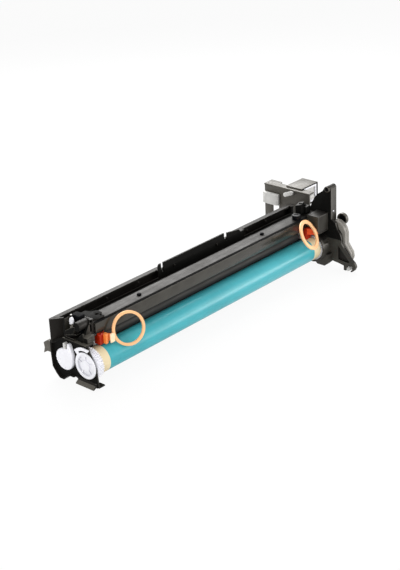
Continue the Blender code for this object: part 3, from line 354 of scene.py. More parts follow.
def finish(name):
    """The material of a finish; the first call makes all of them."""
    if not FINISHES:
        colours = bpy.context.scene.drum_unit_colours
        grain = bpy.context.scene.drum_unit_sizes.grain
        for key, (material, colour, rough, share, specular, spread) in MOULDED.items():
            FINISHES[key] = moulded(material, getattr(colours, colour), rough, grain * share,
                                    specular, spread)
        FINISHES["ring"] = ring_finish(colours, grain)
        FINISHES["steel"] = steel_finish(colours, grain)
        FINISHES["drum"] = drum_finish(colours, grain)
    return FINISHES[name]


def hold(piece):
    """Make a piece the only selected and active object."""
    bpy.ops.object.select_all(action="DESELECT")
    piece.select_set(True)
    bpy.context.view_layer.objects.active = piece
    return piece


def editing(piece, work):
    """Run work in edit mode with the whole piece selected."""
    hold(piece)
    bpy.ops.object.mode_set(mode="EDIT")
    bpy.ops.mesh.select_all(action="SELECT")
    work()
    bpy.ops.object.mode_set(mode="OBJECT")
    return piece


def modified(piece, kind, **settings):
    """Add a modifier and apply it."""
    hold(piece)
    step = piece.modifiers.new(kind.lower(), kind)
    for key, value in settings.items():
        setattr(step, key, value)
    bpy.ops.object.modifier_apply(modifier=step.name)
    return piece


def rounded(piece, width, segments=2, angle=40.0):
    """Round the edges that turn by more than an angle, and shade the piece smooth."""
    modified(piece, "BEVEL", width=width, segments=segments, limit_method="ANGLE",
             angle_limit=math.radians(angle), use_clamp_overlap=True, harden_normals=False)
    hold(piece)
    bpy.ops.object.shade_smooth_by_angle(angle=SMOOTH)
    return piece


def copy_of(node):
    """A copy of a CAD node with its loose triangles merged into faces."""
    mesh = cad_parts[node].data.copy()
    mesh.materials.clear()
    piece = bpy.data.objects.new("finished_" + node, mesh)
    bpy.context.scene.collection.objects.link(piece)

    def merge():
        bpy.ops.mesh.remove_doubles(threshold=MERGE)
        bpy.ops.mesh.dissolve_limited(angle_limit=FLAT)

    return editing(piece, merge)


def fitted(piece, body, slot, nodes, *looks, which=None):
    """Bring a finished piece to the origin, give it its finish and tie it to the frame.

    Where the piece has several looks, which(middle of a face in mm, its normal) names the
    look of that face.
    """
    hold(piece)
    bpy.ops.object.transform_apply(location=True, rotation=True, scale=True)
    piece.data.materials.clear()
    for name in looks:
        piece.data.materials.append(finish(name))
    if which:
        for face in piece.data.polygons:
            face.material_index = looks.index(which((face.center - AXIS) / MM, face.normal))
    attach(piece, body)
    if nodes:
        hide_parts(*nodes)
    return piece


def at(x, y, z):
    """A place given in mm in the drum's frame."""
    return AXIS + Vector((x, y, z)) * MM


def block(name, x, y, z):
    """A box between two limits on each axis."""
    low, high = (at(*corner) for corner in zip(x, y, z))
    bpy.ops.object.select_all(action="DESELECT")
    bpy.ops.mesh.primitive_cube_add(size=1.0, location=(low + high) / 2, scale=high - low)
    piece = bpy.context.object
    piece.name = name
    bpy.ops.object.transform_apply(location=True, rotation=True, scale=True)
    return piece


def rod(name, start, end, radius, steps=32):
    """A round bar between two places."""
    start, end = at(*start), at(*end)
    along = end - start
    bpy.ops.object.select_all(action="DESELECT")
    bpy.ops.mesh.primitive_cylinder_add(vertices=steps, radius=radius * MM, depth=along.length,
                                        location=(start + end) / 2,
                                        rotation=along.to_track_quat("Z", "Y").to_euler())
    piece = bpy.context.object
    piece.name = name
    bpy.ops.object.transform_apply(location=True, rotation=True, scale=True)
    return piece


def cut(piece, *planes):
    """Cut away what lies beyond each plane, a place and its outward normal, and close it."""
    for place, normal in planes:
        editing(piece, lambda: bpy.ops.mesh.bisect(plane_co=at(*place), plane_no=normal,
                                                   use_fill=True, clear_outer=True))
    return piece


def split(piece, *planes):
    """Part the faces along planes, so that each side can have its own look."""
    for place, normal in planes:
        editing(piece, lambda: bpy.ops.mesh.bisect(plane_co=at(*place), plane_no=normal))
    return piece


def pick_faces(piece, test):
    """In edit mode, select the faces whose middle, in mm, and normal pass a test."""
    bpy.ops.mesh.select_mode(type="FACE")
    bpy.ops.mesh.select_all(action="DESELECT")
    mesh = bmesh.from_edit_mesh(piece.data)
    for face in mesh.faces:
        face.select_set(bool(test((face.calc_center_median() - AXIS) / MM, face.normal)))
    bmesh.update_edit_mesh(piece.data)


def pick_points(piece, test):
    """In edit mode, select the vertices whose place, in mm, passes a test."""
    bpy.ops.mesh.select_mode(type="VERT")
    bpy.ops.mesh.select_all(action="DESELECT")
    mesh = bmesh.from_edit_mesh(piece.data)
    for vertex in mesh.verts:
        vertex.select_set(bool(test((vertex.co - AXIS) / MM)))
    bmesh.update_edit_mesh(piece.data)


def sunk(piece, side, rim, depth):
    """Inset the faces on one side by a rim and push them in."""
    side = Vector(side)

    def work():
        pick_faces(piece, lambda place, normal: normal.dot(side) > 0.98)
        bpy.ops.mesh.inset(thickness=rim * MM, depth=0.0)
        bpy.ops.mesh.extrude_region_move(TRANSFORM_OT_translate={"value": side * (-depth * MM)})

    return editing(piece, work)


def carved(piece, cutter):
    """Take a cutter's shape out of a piece."""
    modified(piece, "BOOLEAN", operation="DIFFERENCE", solver="EXACT", object=cutter)
    bpy.data.objects.remove(cutter)
    return piece


def grooved(piece, low, high, depth):
    """Press a groove all round a piece between two places along the drum."""
    along = Vector((1.0, 0.0, 0.0))

    def work():
        for place in (low, high):
            bpy.ops.mesh.select_all(action="SELECT")
            bpy.ops.mesh.bisect(plane_co=at(place, 0.0, 0.0), plane_no=along)
        pick_faces(piece, lambda place, normal: low < place.x < high and abs(normal.x) < 0.5)
        bpy.ops.mesh.extrude_region_shrink_fatten(
            TRANSFORM_OT_shrink_fatten={"value": -depth * MM, "use_even_offset": True})

    return editing(piece, work)


def together(name, pieces):
    """Join pieces that are one moulding."""
    bpy.ops.object.select_all(action="DESELECT")
    for piece in pieces:
        piece.select_set(True)
    bpy.context.view_layer.objects.active = pieces[0]
    bpy.ops.object.join()
    pieces[0].name = name
    return pieces[0]


def from_middle(place, y, z):
    """How far a place lies from a line along the drum."""
    return math.hypot(place.y - y, place.z - z)


# Normals of faces: a face looks towards the front end, forward or up when it passes these
END_ON, FORWARD, UPWARD = -0.85, -0.8, 0.6

PLATE_LUG = 52.0        # Y where the front plate's rear lug starts
PLATE_LEDGE = -24.4     # X where its foot ledge ends
REAR_LEG = 12.0         # Z below which the rear plate is its leg and foot lobe


def housing_look(place, normal):
    """Painted shade: a darker, duller black on the forward faces of the rim and tabs, and on faces
    towards the front end.
    """
    matt = normal.x < END_ON or (normal.y < FORWARD and place.z > 30)
    return "sparked" if matt else "black"


def panel_look(place, normal):
    """Smooth front, with its top faces in a darker, duller black as painted shade."""
    return "sparked" if normal.z > 0.25 else "gloss"


def front_plate_look(place, normal):
    """Painted shade on faces towards the front end, and a painted highlight on the foot ledge, the
    top rim's upward faces and the rear lug.
    """
    lug = place.y > PLATE_LUG
    ledge = place.z < -17 and place.y < 14 and place.x < PLATE_LEDGE and normal.x < -0.3
    rim = place.z > 20 and place.y < 24 and normal.z > UPWARD
    if lug or ledge or rim:
        return "rubbed"
    return "sparked" if normal.x < END_ON else "black"


def rail_bracket_look(place, normal):
    # painted shade: a darker, duller black on faces towards the front end and on the top
    return "sparked" if normal.x < END_ON or normal.z > UPWARD else "black"


def rear_plate_look(place, normal):
    """Painted shade on the fin's faces towards the front end, and painted light on the leg and foot
    lobe and on forward faces such as the post's.
    """
    if normal.x < END_ON:
        return "satin" if place.z < REAR_LEG else "sparked"
    return "satin" if normal.y < FORWARD else "black"


def box_look(place, normal):
    """Dark front of the connector box."""
    return "dark" if normal.y < -0.9 else "sheet"


# Where the faces of a piece part into two looks: a place and a normal for each plane
PARTINGS = {
    "front_end_plate": (((0, PLATE_LUG, 0), (0, 1, 0)), ((PLATE_LEDGE, 0, 0), (1, 0, 0))),
    "rear_end_plate": (((0, 0, REAR_LEG), (0, 0, 1)),),
}

# node, body, slot, share of the edge radius, finishes, what names the finish of a face
CARRIED = (
    ("cleaner_housing", "frame", "black_plastic", 1.0, ("black", "sparked"), housing_look),
    ("charger_panel", "frame", "gloss_black", 0.6, ("gloss", "sparked"), panel_look),
    ("front_end_plate", "frame", "black_plastic", 0.8, ("black", "sparked", "rubbed"),
     front_plate_look),
    ("screw_cap", "frame", "white_plastic", 0.8, ("white",), None),
    ("screw_lock_lever", "frame", "white_plastic", 0.8, ("insert",), None),
    ("rail_bracket", "frame", "black_plastic", 0.8, ("black", "sparked"), rail_bracket_look),
    ("rear_end_plate", "frame", "black_plastic", 0.8, ("black", "sparked", "satin"),
     rear_plate_look),
    ("hook_pin", "frame", "white_plastic", 0.8, ("insert",), None),
    ("connector_box", "frame", "bracket_grey", 0.8, ("sheet", "dark"), box_look),
    ("connector_latch", "frame", "white_plastic", 0.8, ("insert",), None),
    ("waste_gear", "waste_auger", "white_plastic", 0.3, ("white",), None),
    ("drum_tube", "drum", "drum_coating", 0.8, ("drum",), None),
)

SPRINGS = ("charge_spring_front", "charge_spring_rear")

# CAD nodes that keep their shape, and their finish
LOOKS = {
    "drum_flange_front": "white", "drum_drive_gear": "white",
    "drum_pin_front": "steel", "drum_pin_rear": "steel",
    "waste_screw": "white", "seal_sheet": "insert",
    "charge_roller": "rubber", "charge_shaft": "steel",
    "charge_bearing_front": "white", "charge_bearing_rear": "white",
    "blade_holder": "steel", "cleaning_blade": "blade",
    "blade_screw_front": "steel", "blade_screw_rear": "steel",
    "rail_screw_front": "dark", "rail_screw_rear": "dark",
}


class PieceOperator(bpy.types.Operator):
    """A step in building the drum unit"""
    bl_options = {"REGISTER", "UNDO"}


class DRUMUNIT_OT_carried(PieceOperator):
    """Give the frame's own pieces rounded edges and their finish"""
    bl_idname = "drumunit.carried"
    bl_label = "Carried pieces"

    def execute(self, context):
        edge = context.scene.drum_unit_sizes.edge
        for node, body, slot, share, looks, which in CARRIED:
            piece = split(copy_of(node), *PARTINGS.get(node, ()))
            rounded(piece, edge * share)
            FINISHED[node] = fitted(piece, body, slot, [node], *looks, which=which)
        for node in SPRINGS:
            spring = rounded(copy_of(node), edge * 0.1)
            fitted(spring, "frame", "steel", [node], "steel")
            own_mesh(spring)
        for node, look in LOOKS.items():
            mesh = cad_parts[node].data
            mesh.materials.clear()
            mesh.materials.append(finish(look))
        return {"FINISHED"}


# X where the strap starts, middle of the ring, its normal, and the looks of fold and strap
RETAINERS = {
    "front_retainer": (11.2, (31.5, -12.9, 26.9), (-0.33, -0.908, 0.259), "fold", "strap"),
    "rear_retainer": (360.0, (346.3, -16.0, 29.5), (0.238, -0.85, 0.483), "bright", "bright"),
}
BLOCK_FRONT = -3.9          # Y behind which a retainer is its block
RING_RADII = 13.0, 20.3     # a pull ring's faces lie between these,
RING_REACH = 3.0            # and as near as this to the plane of the ring
HOLE_OUTSIDE = 15.6         # points of the ring's hole lie within this radius
HOLE_WIDER = 1.095          # scale of the front ring's hole


class DRUMUNIT_OT_retainers(PieceOperator):
    """Give both retainers their pale pull ring, a block darkened as painted shade and a fold
    lightened as painted light
    """
    bl_idname = "drumunit.retainers"
    bl_label = "Retainers and pull rings"

    def execute(self, context):
        edge = context.scene.drum_unit_sizes.edge
        inside, outside = RING_RADII
        for node, (strap, middle, normal, fold_look, strap_look) in RETAINERS.items():
            facing = Vector(normal).normalized()

            def on_ring(place, farthest):
                reach = place - Vector(middle)
                height = reach.dot(facing)
                away = (reach - facing * height).length
                return abs(height) < RING_REACH and inside < away < farthest

            # painted shade on the block, painted light on the fold and a painted highlight on the
            # strap
            def which(place, normal):
                if on_ring(place, outside):
                    return "ring"
                if place.y > BLOCK_FRONT:
                    return "block"
                return fold_look if place.x < strap else strap_look

            def widen_hole():
                pick_points(piece, lambda place: on_ring(place, HOLE_OUTSIDE))
                bpy.ops.transform.resize(value=(HOLE_WIDER,) * 3, center_override=at(*middle))

            piece = copy_of(node)
            if node == "front_retainer":
                editing(piece, widen_hole)
                self.front_panel(piece, edge)
            modified(rounded(piece, edge * 1.4, 3), "TRIANGULATE")
            fitted(piece, "frame", "orange_plastic", [node],
                   "block", "fold", "ring", "bright", "strap", which=which)
        return {"FINISHED"}

    def front_panel(self, piece, edge):
        """Clear room in front of the front block, and put its own fold, lightened as painted light,
        and its strap, paled as a painted highlight, there.
        """
        carved(piece, block("retainer_low", (-4.0, 7.6), (-4.4, 5.0), (12.0, 17.6)))
        carved(piece, block("retainer_side", (3.2, 8.4), (-4.4, 0.4), (12.0, 32.0)))
        fold = cut(block("front_fold", (2.4, 8.0), (-7.4, -0.6), (17.4, 28.2)),
                   ((5.2, -7.4, 20), (0.5, -0.86, 0)))
        strap = cut(block("front_strap", (8.0, 14.2), (-9.4, -7.8), (17.2, 27.6)),
                    ((14.2, -8, 26.4), (0.5, 0, 0.866)))
        fitted(rounded(fold, edge * 1.2, 3), "frame", "orange_plastic", None, "fold")
        fitted(rounded(strap, edge, 3), "frame", "orange_plastic", None, "strap")


class DRUMUNIT_OT_front_block(PieceOperator):
    """Build the moulded block on top of the front end"""
    bl_idname = "drumunit.front_block"
    bl_label = "Front block"

    def execute(self, context):
        edge = context.scene.drum_unit_sizes.edge
        blacks = [*self.walls(), *self.wedge(), *self.tube(), *self.side()]
        clip = cut(copy_of("white_clip"), ((0, 0, 41.4), (0, 0, -1)))
        fitted(rounded(clip, edge), "frame", "white_plastic", ["white_clip"], "white")
        for piece in blacks:
            rounded(piece, edge, 3, 30.0)
        fitted(together("front_block_body", blacks), "frame", "black_plastic", ["front_block"],
               "black", "sparked", "satin", "rubbed", which=self.block_look)

        cap = block("front_block_cap", (-14.0, -4.6), (14.0, 27.0), (43.0, 50.0))
        fitted(rounded(cap, edge * 3.5, 4), "frame", "black_plastic", None, "dark")
        # painted shade: a near-black block behind the hole between the wedge and the tube
        backing = block("block_backing", (-17.0, -6.0), (9.0, 12.4), (27.4, 40.0))
        fitted(rounded(backing, edge), "frame", "black_plastic", None, "dark")
        # painted highlight: a pale strip along the dark cap's edge
        highlight_strip = block("cap_bead", (-15.0, -13.4), (24.6, 26.6), (49.0, 50.0))
        fitted(rounded(highlight_strip, edge * 0.6), "frame", "white_plastic", None, "insert")
        return {"FINISHED"}

    def walls(self):
        back = cut(block("block_back", (-24, -3.7), (25.8, 28.9), (25.4, 48.6)),
                   ((0, 28.9, 46.6), (0, 0.6, 0.8)))
        floor = block("block_floor", (-20.4, -3.7), (6.0, 26.2), (25.4, 27.6))
        step = block("block_step", (-24, -20), (14.0, 26.2), (25.4, 27.6))
        rear = block("block_rear_wall", (-5.6, -3.7), (6.0, 26.2), (25.4, 47.0))
        bridge = cut(block("block_bridge", (-16.4, -3.8), (12.4, 14.6), (33.0, 47.4)),
                     ((0, 14.6, 45.4), (0, 0.7, 0.7)))
        return back, floor, step, rear, bridge

    def wedge(self):
        """The sloping wedge with its two rims, and the shelf, clip foot and gusset round it."""
        rims = [rod("wedge_rim", (-24.2, 25.9, 33.8), (-24.2, 12.1, 42.5), 0.7, 12),
                rod("wedge_rim", (-24.2, 26.2, 28.9), (-24.2, 15.1, 33.3), 0.6, 12)]
        foot = cut(block("clip_foot", (-23.6, -20.4), (13.4, 18.4), (38.0, 43.6)),
                   ((-23.6, 0, 41.4), (-0.6, 0, 0.8)))
        wedge = cut(block("block_wedge", (-24, -18.6), (10.6, 26.0), (28.2, 44.0)),
                    ((0, 25.9, 33.6), (0, 0.533, 0.846)), ((0, 15.1, 33.0), (0, -0.364, -0.931)),
                    ((0, 12.1, 39.0), (0, -0.9, -0.43)))
        shelf = cut(block("block_shelf", (-24, -16), (9.6, 25.9), (29.0, 34.0)),
                    ((0, 25.9, 30.2), (0, 0.3, 0.95)), ((0, 15.1, 31.2), (0, -0.364, -0.931)))
        gusset = cut(block("block_gusset", (-21.0, -19.4), (2.4, 11.6), (25.4, 35.8)),
                     ((0, 10.7, 28.2), (0, 0.85, 0.53)), ((0, 6.4, 33.0), (0, 0.66, 0.75)))
        return *rims, foot, wedge, shelf, gusset

    def tube(self):
        """The rounded bar with its collar, and the square tube with two slots."""
        bar = rod("block_bar", (-23.2, 9.3, 42.9), (-8.6, 9.3, 42.9), 5.2)
        collar = rod("bar_collar", (-9.0, 9.3, 42.7), (-7.6, 9.3, 42.7), 5.7)
        tube = cut(block("square_tube", (-20.2, -9.4), (-3.3, 7.8), (25.4, 33.0)),
                   ((-20.2, 0, 31.4), (-0.35, 0, 0.94)))
        for low in (27.0, 29.6):
            carved(tube, block("tube_slot", (-17.6, -13.4), (-4.0, -2.6), (low, low + 1.1)))
        return bar, collar, tube

    def side(self):
        """The wall behind the square tube, with two slots and a ledge between them."""
        side = cut(block("block_side", (-16.0, -3.9), (2.7, 6.4), (32.0, 47.6)),
                   ((-16.0, 0, 34.4), (-0.86, 0, 0.5)), ((-11.6, 0, 44.6), (-0.86, 0, 0.5)))
        carved(side, block("side_slot", (-9.6, -7.2), (2.0, 5.6), (33.0, 42.6)))
        carved(side, block("upper_slot", (-9.0, -6.0), (2.0, 5.6), (44.0, 47.0)))
        ledge = block("side_ledge", (-10.6, -5.4), (1.9, 3.2), (42.6, 43.4))
        return side, ledge

    def block_look(self, place, normal):
        """Painted highlight on the clip foot and on facets of the tube and below the bar, painted
        shade on faces towards the front end, and painted light on low forward faces.
        """
        foot = place.x < -20.4 and 13 < place.y < 18.6 and 38.5 < place.z < 44
        tube = place.y < 8.2 and place.z < 36 and normal.z > 0.5
        wedge = place.x < -23.4 and place.z < 43 and normal.x < -END_ON and normal.z > 0.2
        if foot:
            return "rubbed"
        if normal.x < END_ON:
            return "sparked"
        if tube or wedge:
            return "rubbed"
        return "satin" if normal.y < FORWARD and place.z < 40 else "black"


BEARING_HOLLOW = 10.2       # radius of the recess in the front bearing's CAD node
HOLLOW_WIDER = 11.6         # its radius here
HOLLOW_DEEPER = 1.4         # distance by which its floor moves back
HUB_COLLAR = 6.6            # faces within this radius belong to the bearing's hub
BOWL_FLOOR = 2.1            # depth of the bowl's floor below the bearing's front
BOWL_RIBS = (80, 200, 320)  # turns of its ribs, in degrees
SCREW_Y = 29.6              # the waste screw's axis
CAP_NOTCHES = (-8, -24, -40, -56, -72)
NOTCH_RING = 13.2           # radius on which the cap's notches lie


class DRUMUNIT_OT_bearing(PieceOperator):
    """Finish the drum's white front bearing and the waste screw's cap"""
    bl_idname = "drumunit.bearing"
    bl_label = "Front bearing and cap"

    def execute(self, context):
        edge = context.scene.drum_unit_sizes.edge
        front = (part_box("drum_bearing_front")[0].x - AXIS.x) / MM
        self.bearing(front, edge)
        self.bowl(front + BOWL_FLOOR, edge)
        self.cap(FINISHED["screw_cap"])
        return {"FINISHED"}

    def bearing(self, front, edge):
        """The CAD's bearing with a wider, deeper recess, whose wall is a greyer white as painted
        shade.
        """
        piece = copy_of("drum_bearing_front")
        wider = HOLLOW_WIDER / BEARING_HOLLOW

        def pick(low, high, start, stop):
            """Points between two radii and two depths."""
            pick_points(piece, lambda place: low < from_middle(place, 0, 0) < high
                        and start < place.x - front < stop)

        def work():
            pick(9.7, 10.95, -0.1, 3.2)     # wall of the recess
            bpy.ops.transform.resize(value=(1, wider, wider), center_override=AXIS)
            pick(0.0, 12.0, 1.9, 3.4)       # its floor
            bpy.ops.transform.translate(value=(HOLLOW_DEEPER * MM, 0, 0))

        # painted shade: the recess wall takes the greyer white
        def which(place, normal):
            in_hollow = HUB_COLLAR < from_middle(place, 0, 0) < HOLLOW_WIDER + 0.3
            wall = place.x - front > 0.35 and abs(normal.x) < 0.8
            return "hollow" if in_hollow and wall else "white"

        editing(piece, work)
        rounded(piece, edge * 0.9, 3)
        fitted(piece, "frame", "white_plastic", ["drum_bearing_front"], "white", "hollow",
               which=which)

    def bowl(self, floor, edge):
        """Floor of the recess with its hub and three ribs."""
        parts = [rod("bearing_bowl", (floor, 0, 0), (floor + 1.4, 0, 0), 11.3, 64),
                 rod("bearing_hub", (floor - 0.4, 0, 0), (floor, 0, 0), 3.0)]
        for turn in BOWL_RIBS:
            rib = block("bearing_rib", (floor - 0.35, floor + 0.1), (2.0, 10.8), (-0.6, 0.6))
            hold(rib)
            bpy.ops.transform.rotate(value=math.radians(turn), orient_axis="X",
                                     center_override=AXIS)
            parts.append(rib)
        for part in parts:
            rounded(part, edge * 0.4)
        fitted(together("bearing_bowl", parts), "frame", "white_plastic", None, "white")

    def cap(self, cap):
        """Notches along the cap's lower rim, and two round marks on its face."""
        for turn in CAP_NOTCHES:
            y = SCREW_Y + NOTCH_RING * math.cos(math.radians(turn))
            z = NOTCH_RING * math.sin(math.radians(turn))
            carved(cap, rod("cap_notch", (-27.4, y, z), (-22.6, y, z), 1.6, 16))
        for y, z in ((35.8, -0.4), (28.5, -9.3)):
            carved(cap, rod("cap_mark", (-27.4, y, z), (-26.0, y, z), 1.1, 16))


HOUSING = -19.0, 384.0      # X where the housing's rim starts and ends
TABS = 136.6, 289.0         # X between which the rim carries its three raised tabs
SLITS = (144.2, 257.0)      # X of the slits beside the tabs
WALL_BEHIND_TABS, WALL_ELSEWHERE = 40.6, 43.9       # Y of the channel's back wall
# X and lower end of each small rib on that wall
WALL_RIBS = {55.3: 35.4, 105.7: 35.6, 162.2: 38.6, 237.4: 38.6, 297.8: 35.6, 334.4: 35.8}
BACK_WALL = 49.9, 50.9      # Y of the stiffening ribs behind the housing
BACK_RIB = 1.4              # their width


class DRUMUNIT_OT_channel(PieceOperator):
    """Finish the housing's channel, rim, tabs and back, and the notch of the rail bracket"""
    bl_idname = "drumunit.channel"
    bl_label = "Channel, rim and back"

    def execute(self, context):
        edge = context.scene.drum_unit_sizes.edge
        self.wall_ribs(edge)
        self.rim(FINISHED["cleaner_housing"])
        self.back_ribs(edge)
        self.rail(edge)
        return {"FINISHED"}

    def wall_ribs(self, edge):
        """Small ribs with a sloping foot on the channel's back wall."""
        ribs = []
        for x, low in WALL_RIBS.items():
            wall = WALL_BEHIND_TABS if TABS[0] < x < TABS[1] else WALL_ELSEWHERE
            rib = cut(block("wall_rib", (x - 0.7, x + 0.7), (wall - 1.8, wall), (low, low + 3.6)),
                      ((0, wall - 1.8, low + 2.4), (0, -0.6, 0.8)))
            ribs.append(rounded(rib, edge * 0.5))
        fitted(together("wall_ribs", ribs), "frame", "black_plastic", None, "black")

    def rim(self, housing):
        """A thinner rim beside the tabs, and the slits with the hollow behind each."""
        for start, stop in ((HOUSING[0], TABS[0]), (TABS[1], HOUSING[1])):
            carved(housing, block("rim_front", (start, stop), (39.0, 43.8), (33.4, 52.0)))
        for x in SLITS:
            carved(housing, block("rim_slit", (x - 1.1, x + 1.1), (38.0, 44.0), (38.6, 52.0)))
            carved(housing, block("rim_notch", (x - 1.3, x + 9.6), (43.0, 51.0), (38.6, 52.0)))

    def back_ribs(self, edge):
        ribs = [block("back_rib", (-14.0, 378.0), BACK_WALL, (low, low + BACK_RIB))
                for low in (-19.4, 8.0, 34.0)]
        ribs += [block("back_rib", (x, x + BACK_RIB), BACK_WALL, (-18.8, 34.6))
                 for x in range(-14, 378, 56)]
        for rib in ribs:
            rounded(rib, edge * 0.8)
        fitted(together("back_ribs", ribs), "frame", "black_plastic", None, "black")

    def rail(self, edge):
        """The bracket's round notch with a near-black floor, and a near-black strip along the gap
        between the rail and the panel: both painted shade.
        """
        x, y = 13.2, 7.6
        carved(FINISHED["rail_bracket"], rod("rail_notch", (x, y, 40.0), (x, y, 50.0), 2.7, 24))
        # painted shade: a near-black floor in the notch
        notch = rod("notch_floor", (x, y, 42.4), (x, y, 42.95), 2.6, 24)
        fitted(rounded(notch, edge * 0.4), "frame", "black_plastic", None, "dark")
        # painted shade: a near-black strip along the gap between the rail and the panel
        gap = cut(block("rail_gap", (-2.8, 368.4), (2.8, 3.7), (41.9, 42.78)),
                  ((0, 2.8, 42.5), (0, -0.6, 0.8)))
        fitted(rounded(gap, edge * 0.3), "frame", "black_plastic", None, "dark")


COVER_GROOVE = 396.4, 397.0     # X of the groove round the rear cover
BOSS = -25.2, 34.6              # Y and Z of the dark drive boss
FIN_BOSS = -14.2, 76.6          # Y and Z of the tubular boss on the fin
SHEET_TOP = 57.0                # height at which the bracket's flange starts
INSERT_EDGE = 41.2              # Y behind which the insert's front is its sunk part


class DRUMUNIT_OT_drive_end(PieceOperator):
    """Finish the rear cover, the drive boss, the bracket and the small parts at the drive end"""
    bl_idname = "drumunit.drive_end"
    bl_label = "Drive end"

    def execute(self, context):
        edge = context.scene.drum_unit_sizes.edge
        self.cover(edge)
        self.rail_end(edge)
        self.contact_housing(edge)
        self.bracket(edge)
        self.rear_plate(edge)
        return {"FINISHED"}

    def cover(self, edge):
        """The cover with its groove, the drive boss and the oval pin."""
        cover = grooved(copy_of("rear_cover"), *COVER_GROOVE, 0.9)
        fitted(rounded(cover, edge * 0.8), "frame", "grey_plastic", ["rear_cover"], "cover")

        boss = rod("finished_rear_drive_boss", (401.7, *BOSS), (406.0, *BOSS), 7.5, 48)
        sunk(boss, (-1, 0, 0), 1.5, 2.4)
        sunk(boss, (1, 0, 0), 1.5, 1.2)
        # painted shade: the boss's sunk middle is near-black
        fitted(rounded(boss, edge), "frame", "black_plastic", ["rear_drive_boss"], "sheet", "dark",
               which=lambda place, normal: "dark" if from_middle(place, *BOSS) < 5.6 else "sheet")

        pin = cut(copy_of("guide_pin"), ((397.6, 0, 0), (-1, 0, 0)))
        fitted(rounded(pin, edge * 2, 3), "frame", "white_plastic", ["guide_pin"], "insert")

    def rail_end(self, edge):
        """The round cap and the upright post on the rail's rear end."""
        cap = rod("finished_rail_cap", (353.0, 8.8, 42.8), (353.0, 8.8, 48.4), 5.4, 40)
        sunk(cap, (0, 0, 1), 2.6, 0.8)
        fitted(rounded(cap, edge * 3, 4), "frame", "gloss_black", ["rail_cap"], "dark_gloss")

        post = [cut(block("rail_post", (365.2, 371.8), (10.8, 19.6), (43.0, 59.6)),
                    ((368.5, 15, 57.0), (-0.35, 0.3, 0.89))),
                block("rail_post_step", (371.6, 380.2), (7.6, 15.4), (43.0, 52.6)),
                cut(block("rail_post_top", (367.4, 378.2), (11.4, 15.6), (52.2, 58.4)),
                    ((372, 14, 57.4), (0.62, 0, 0.78)))]
        for piece in post:
            rounded(piece, edge, 3)
        # painted shade: the post's faces towards the front end and forward are a darker, duller
        # black
        fitted(together("finished_rail_post", post), "frame", "black_plastic", ["rail_post"],
               "black", "sparked", which=lambda place, normal:
               "sparked" if normal.x < END_ON or normal.y < FORWARD else "black")

    def contact_housing(self, edge):
        contact = block("finished_contact_housing", (366.4, 387.7), (-14.5, 2.8), (22.0, 45.6))
        sunk(contact, (0, -1, 0), 1.8, 0.5)
        # painted light: all but the top of the contact housing is a lighter, shinier black
        fitted(rounded(contact, edge * 1.2, 3), "frame", "black_plastic", ["contact_housing"],
               "satin", "black",
               which=lambda place, normal: "black" if normal.z > UPWARD else "satin")

    def bracket(self, edge):
        """The connector's insert, and the sheet bracket with its flange and tab."""
        insert = sunk(copy_of("connector_insert"), (0, -1, 0), 2.4, 1.6)
        fitted(rounded(insert, edge * 0.6), "frame", "white_plastic", ["connector_insert"],
               "white", "insert", which=lambda place, normal:
               "insert" if place.y > INSERT_EDGE and normal.y < -0.9 else "white")

        bracket = cut(copy_of("rear_bracket"), ((401, 0, SHEET_TOP), (0, 0, 1)))
        fitted(rounded(bracket, edge * 0.8), "frame", "bracket_grey", ["rear_bracket"], "sheet")
        flange = [cut(block("bracket_flange", (399.8, 411.2), (24.4, 98.2), (55.0, 57.4)),
                      ((411.2, 24.4, 56), (0.3, -0.95, 0))),
                  cut(block("flange_tab", (404.0, 416.2), (76.6, 98.2), (55.6, 57.5)),
                      ((416.2, 80.6, 56), (0.55, -0.83, 0)))]
        for piece in flange:
            rounded(piece, edge * 2.4, 4)
        fitted(together("bracket_flange", flange), "frame", "bracket_grey", None, "sheet")

    def rear_plate(self, edge):
        """The pocket in the rear plate's leg, and the small parts on its post and fin."""
        pocket = cut(block("leg_pocket", (386.0, 389.9), (-47.0, -30.0), (-15.5, 4.0)),
                     ((388, -33.0, 0.5), (0, -0.72, 0.69)), ((388, -40.0, -15.4), (0, 0.12, -0.99)))
        carved(FINISHED["rear_end_plate"], pocket)
        nub = rod("post_nub", (392.5, -18.4, 47.2), (392.5, -19.6, 47.2), 1.0, 20)
        fitted(rounded(nub, edge * 0.8), "frame", "white_plastic", None, "white")
        ring = rod("fin_ring", (384.7, *FIN_BOSS), (386.2, *FIN_BOSS), 3.6)
        sunk(ring, (-1, 0, 0), 1.0, 0.9)
        # painted shade: the ring's bore is near-black
        fitted(rounded(ring, edge * 0.6), "frame", "black_plastic", None, "sheet", "dark",
               which=lambda place, normal:
               "dark" if from_middle(place, *FIN_BOSS) < 2.7 else "sheet")


# name, key of its power, width and height, place in metres, lights matt faces, is mirrored
LAMPS = (
    ("light_above", "above", 0.9, 0.9, (0.45, 0.55, 0.75), True, True),
    ("light_front", "front", 0.8, 0.8, (0.75, -0.95, 0.35), True, True),
    ("light_side", "side", 0.9, 0.9, (-1.0, -0.35, 0.5), True, False),
    ("light_low", "low", 1.3, 0.24, (0.8, -1.0, 0.14), False, True),
)
LAMP_AIM = (0.0, 0.0, 0.04)
FLOOR_SIZE = 8.0
FLOOR_GREY = (0.8, 0.8, 0.8)
FLOOR_GLOW = 0.93               # share of plain white that the camera sees in the floor
CAMERA_SPOT = (-833.4, -918.5, 646.4)
CAMERA_ANGLES = (-47.285, 24.621, -2.682)       # azimuth, elevation and roll, in degrees


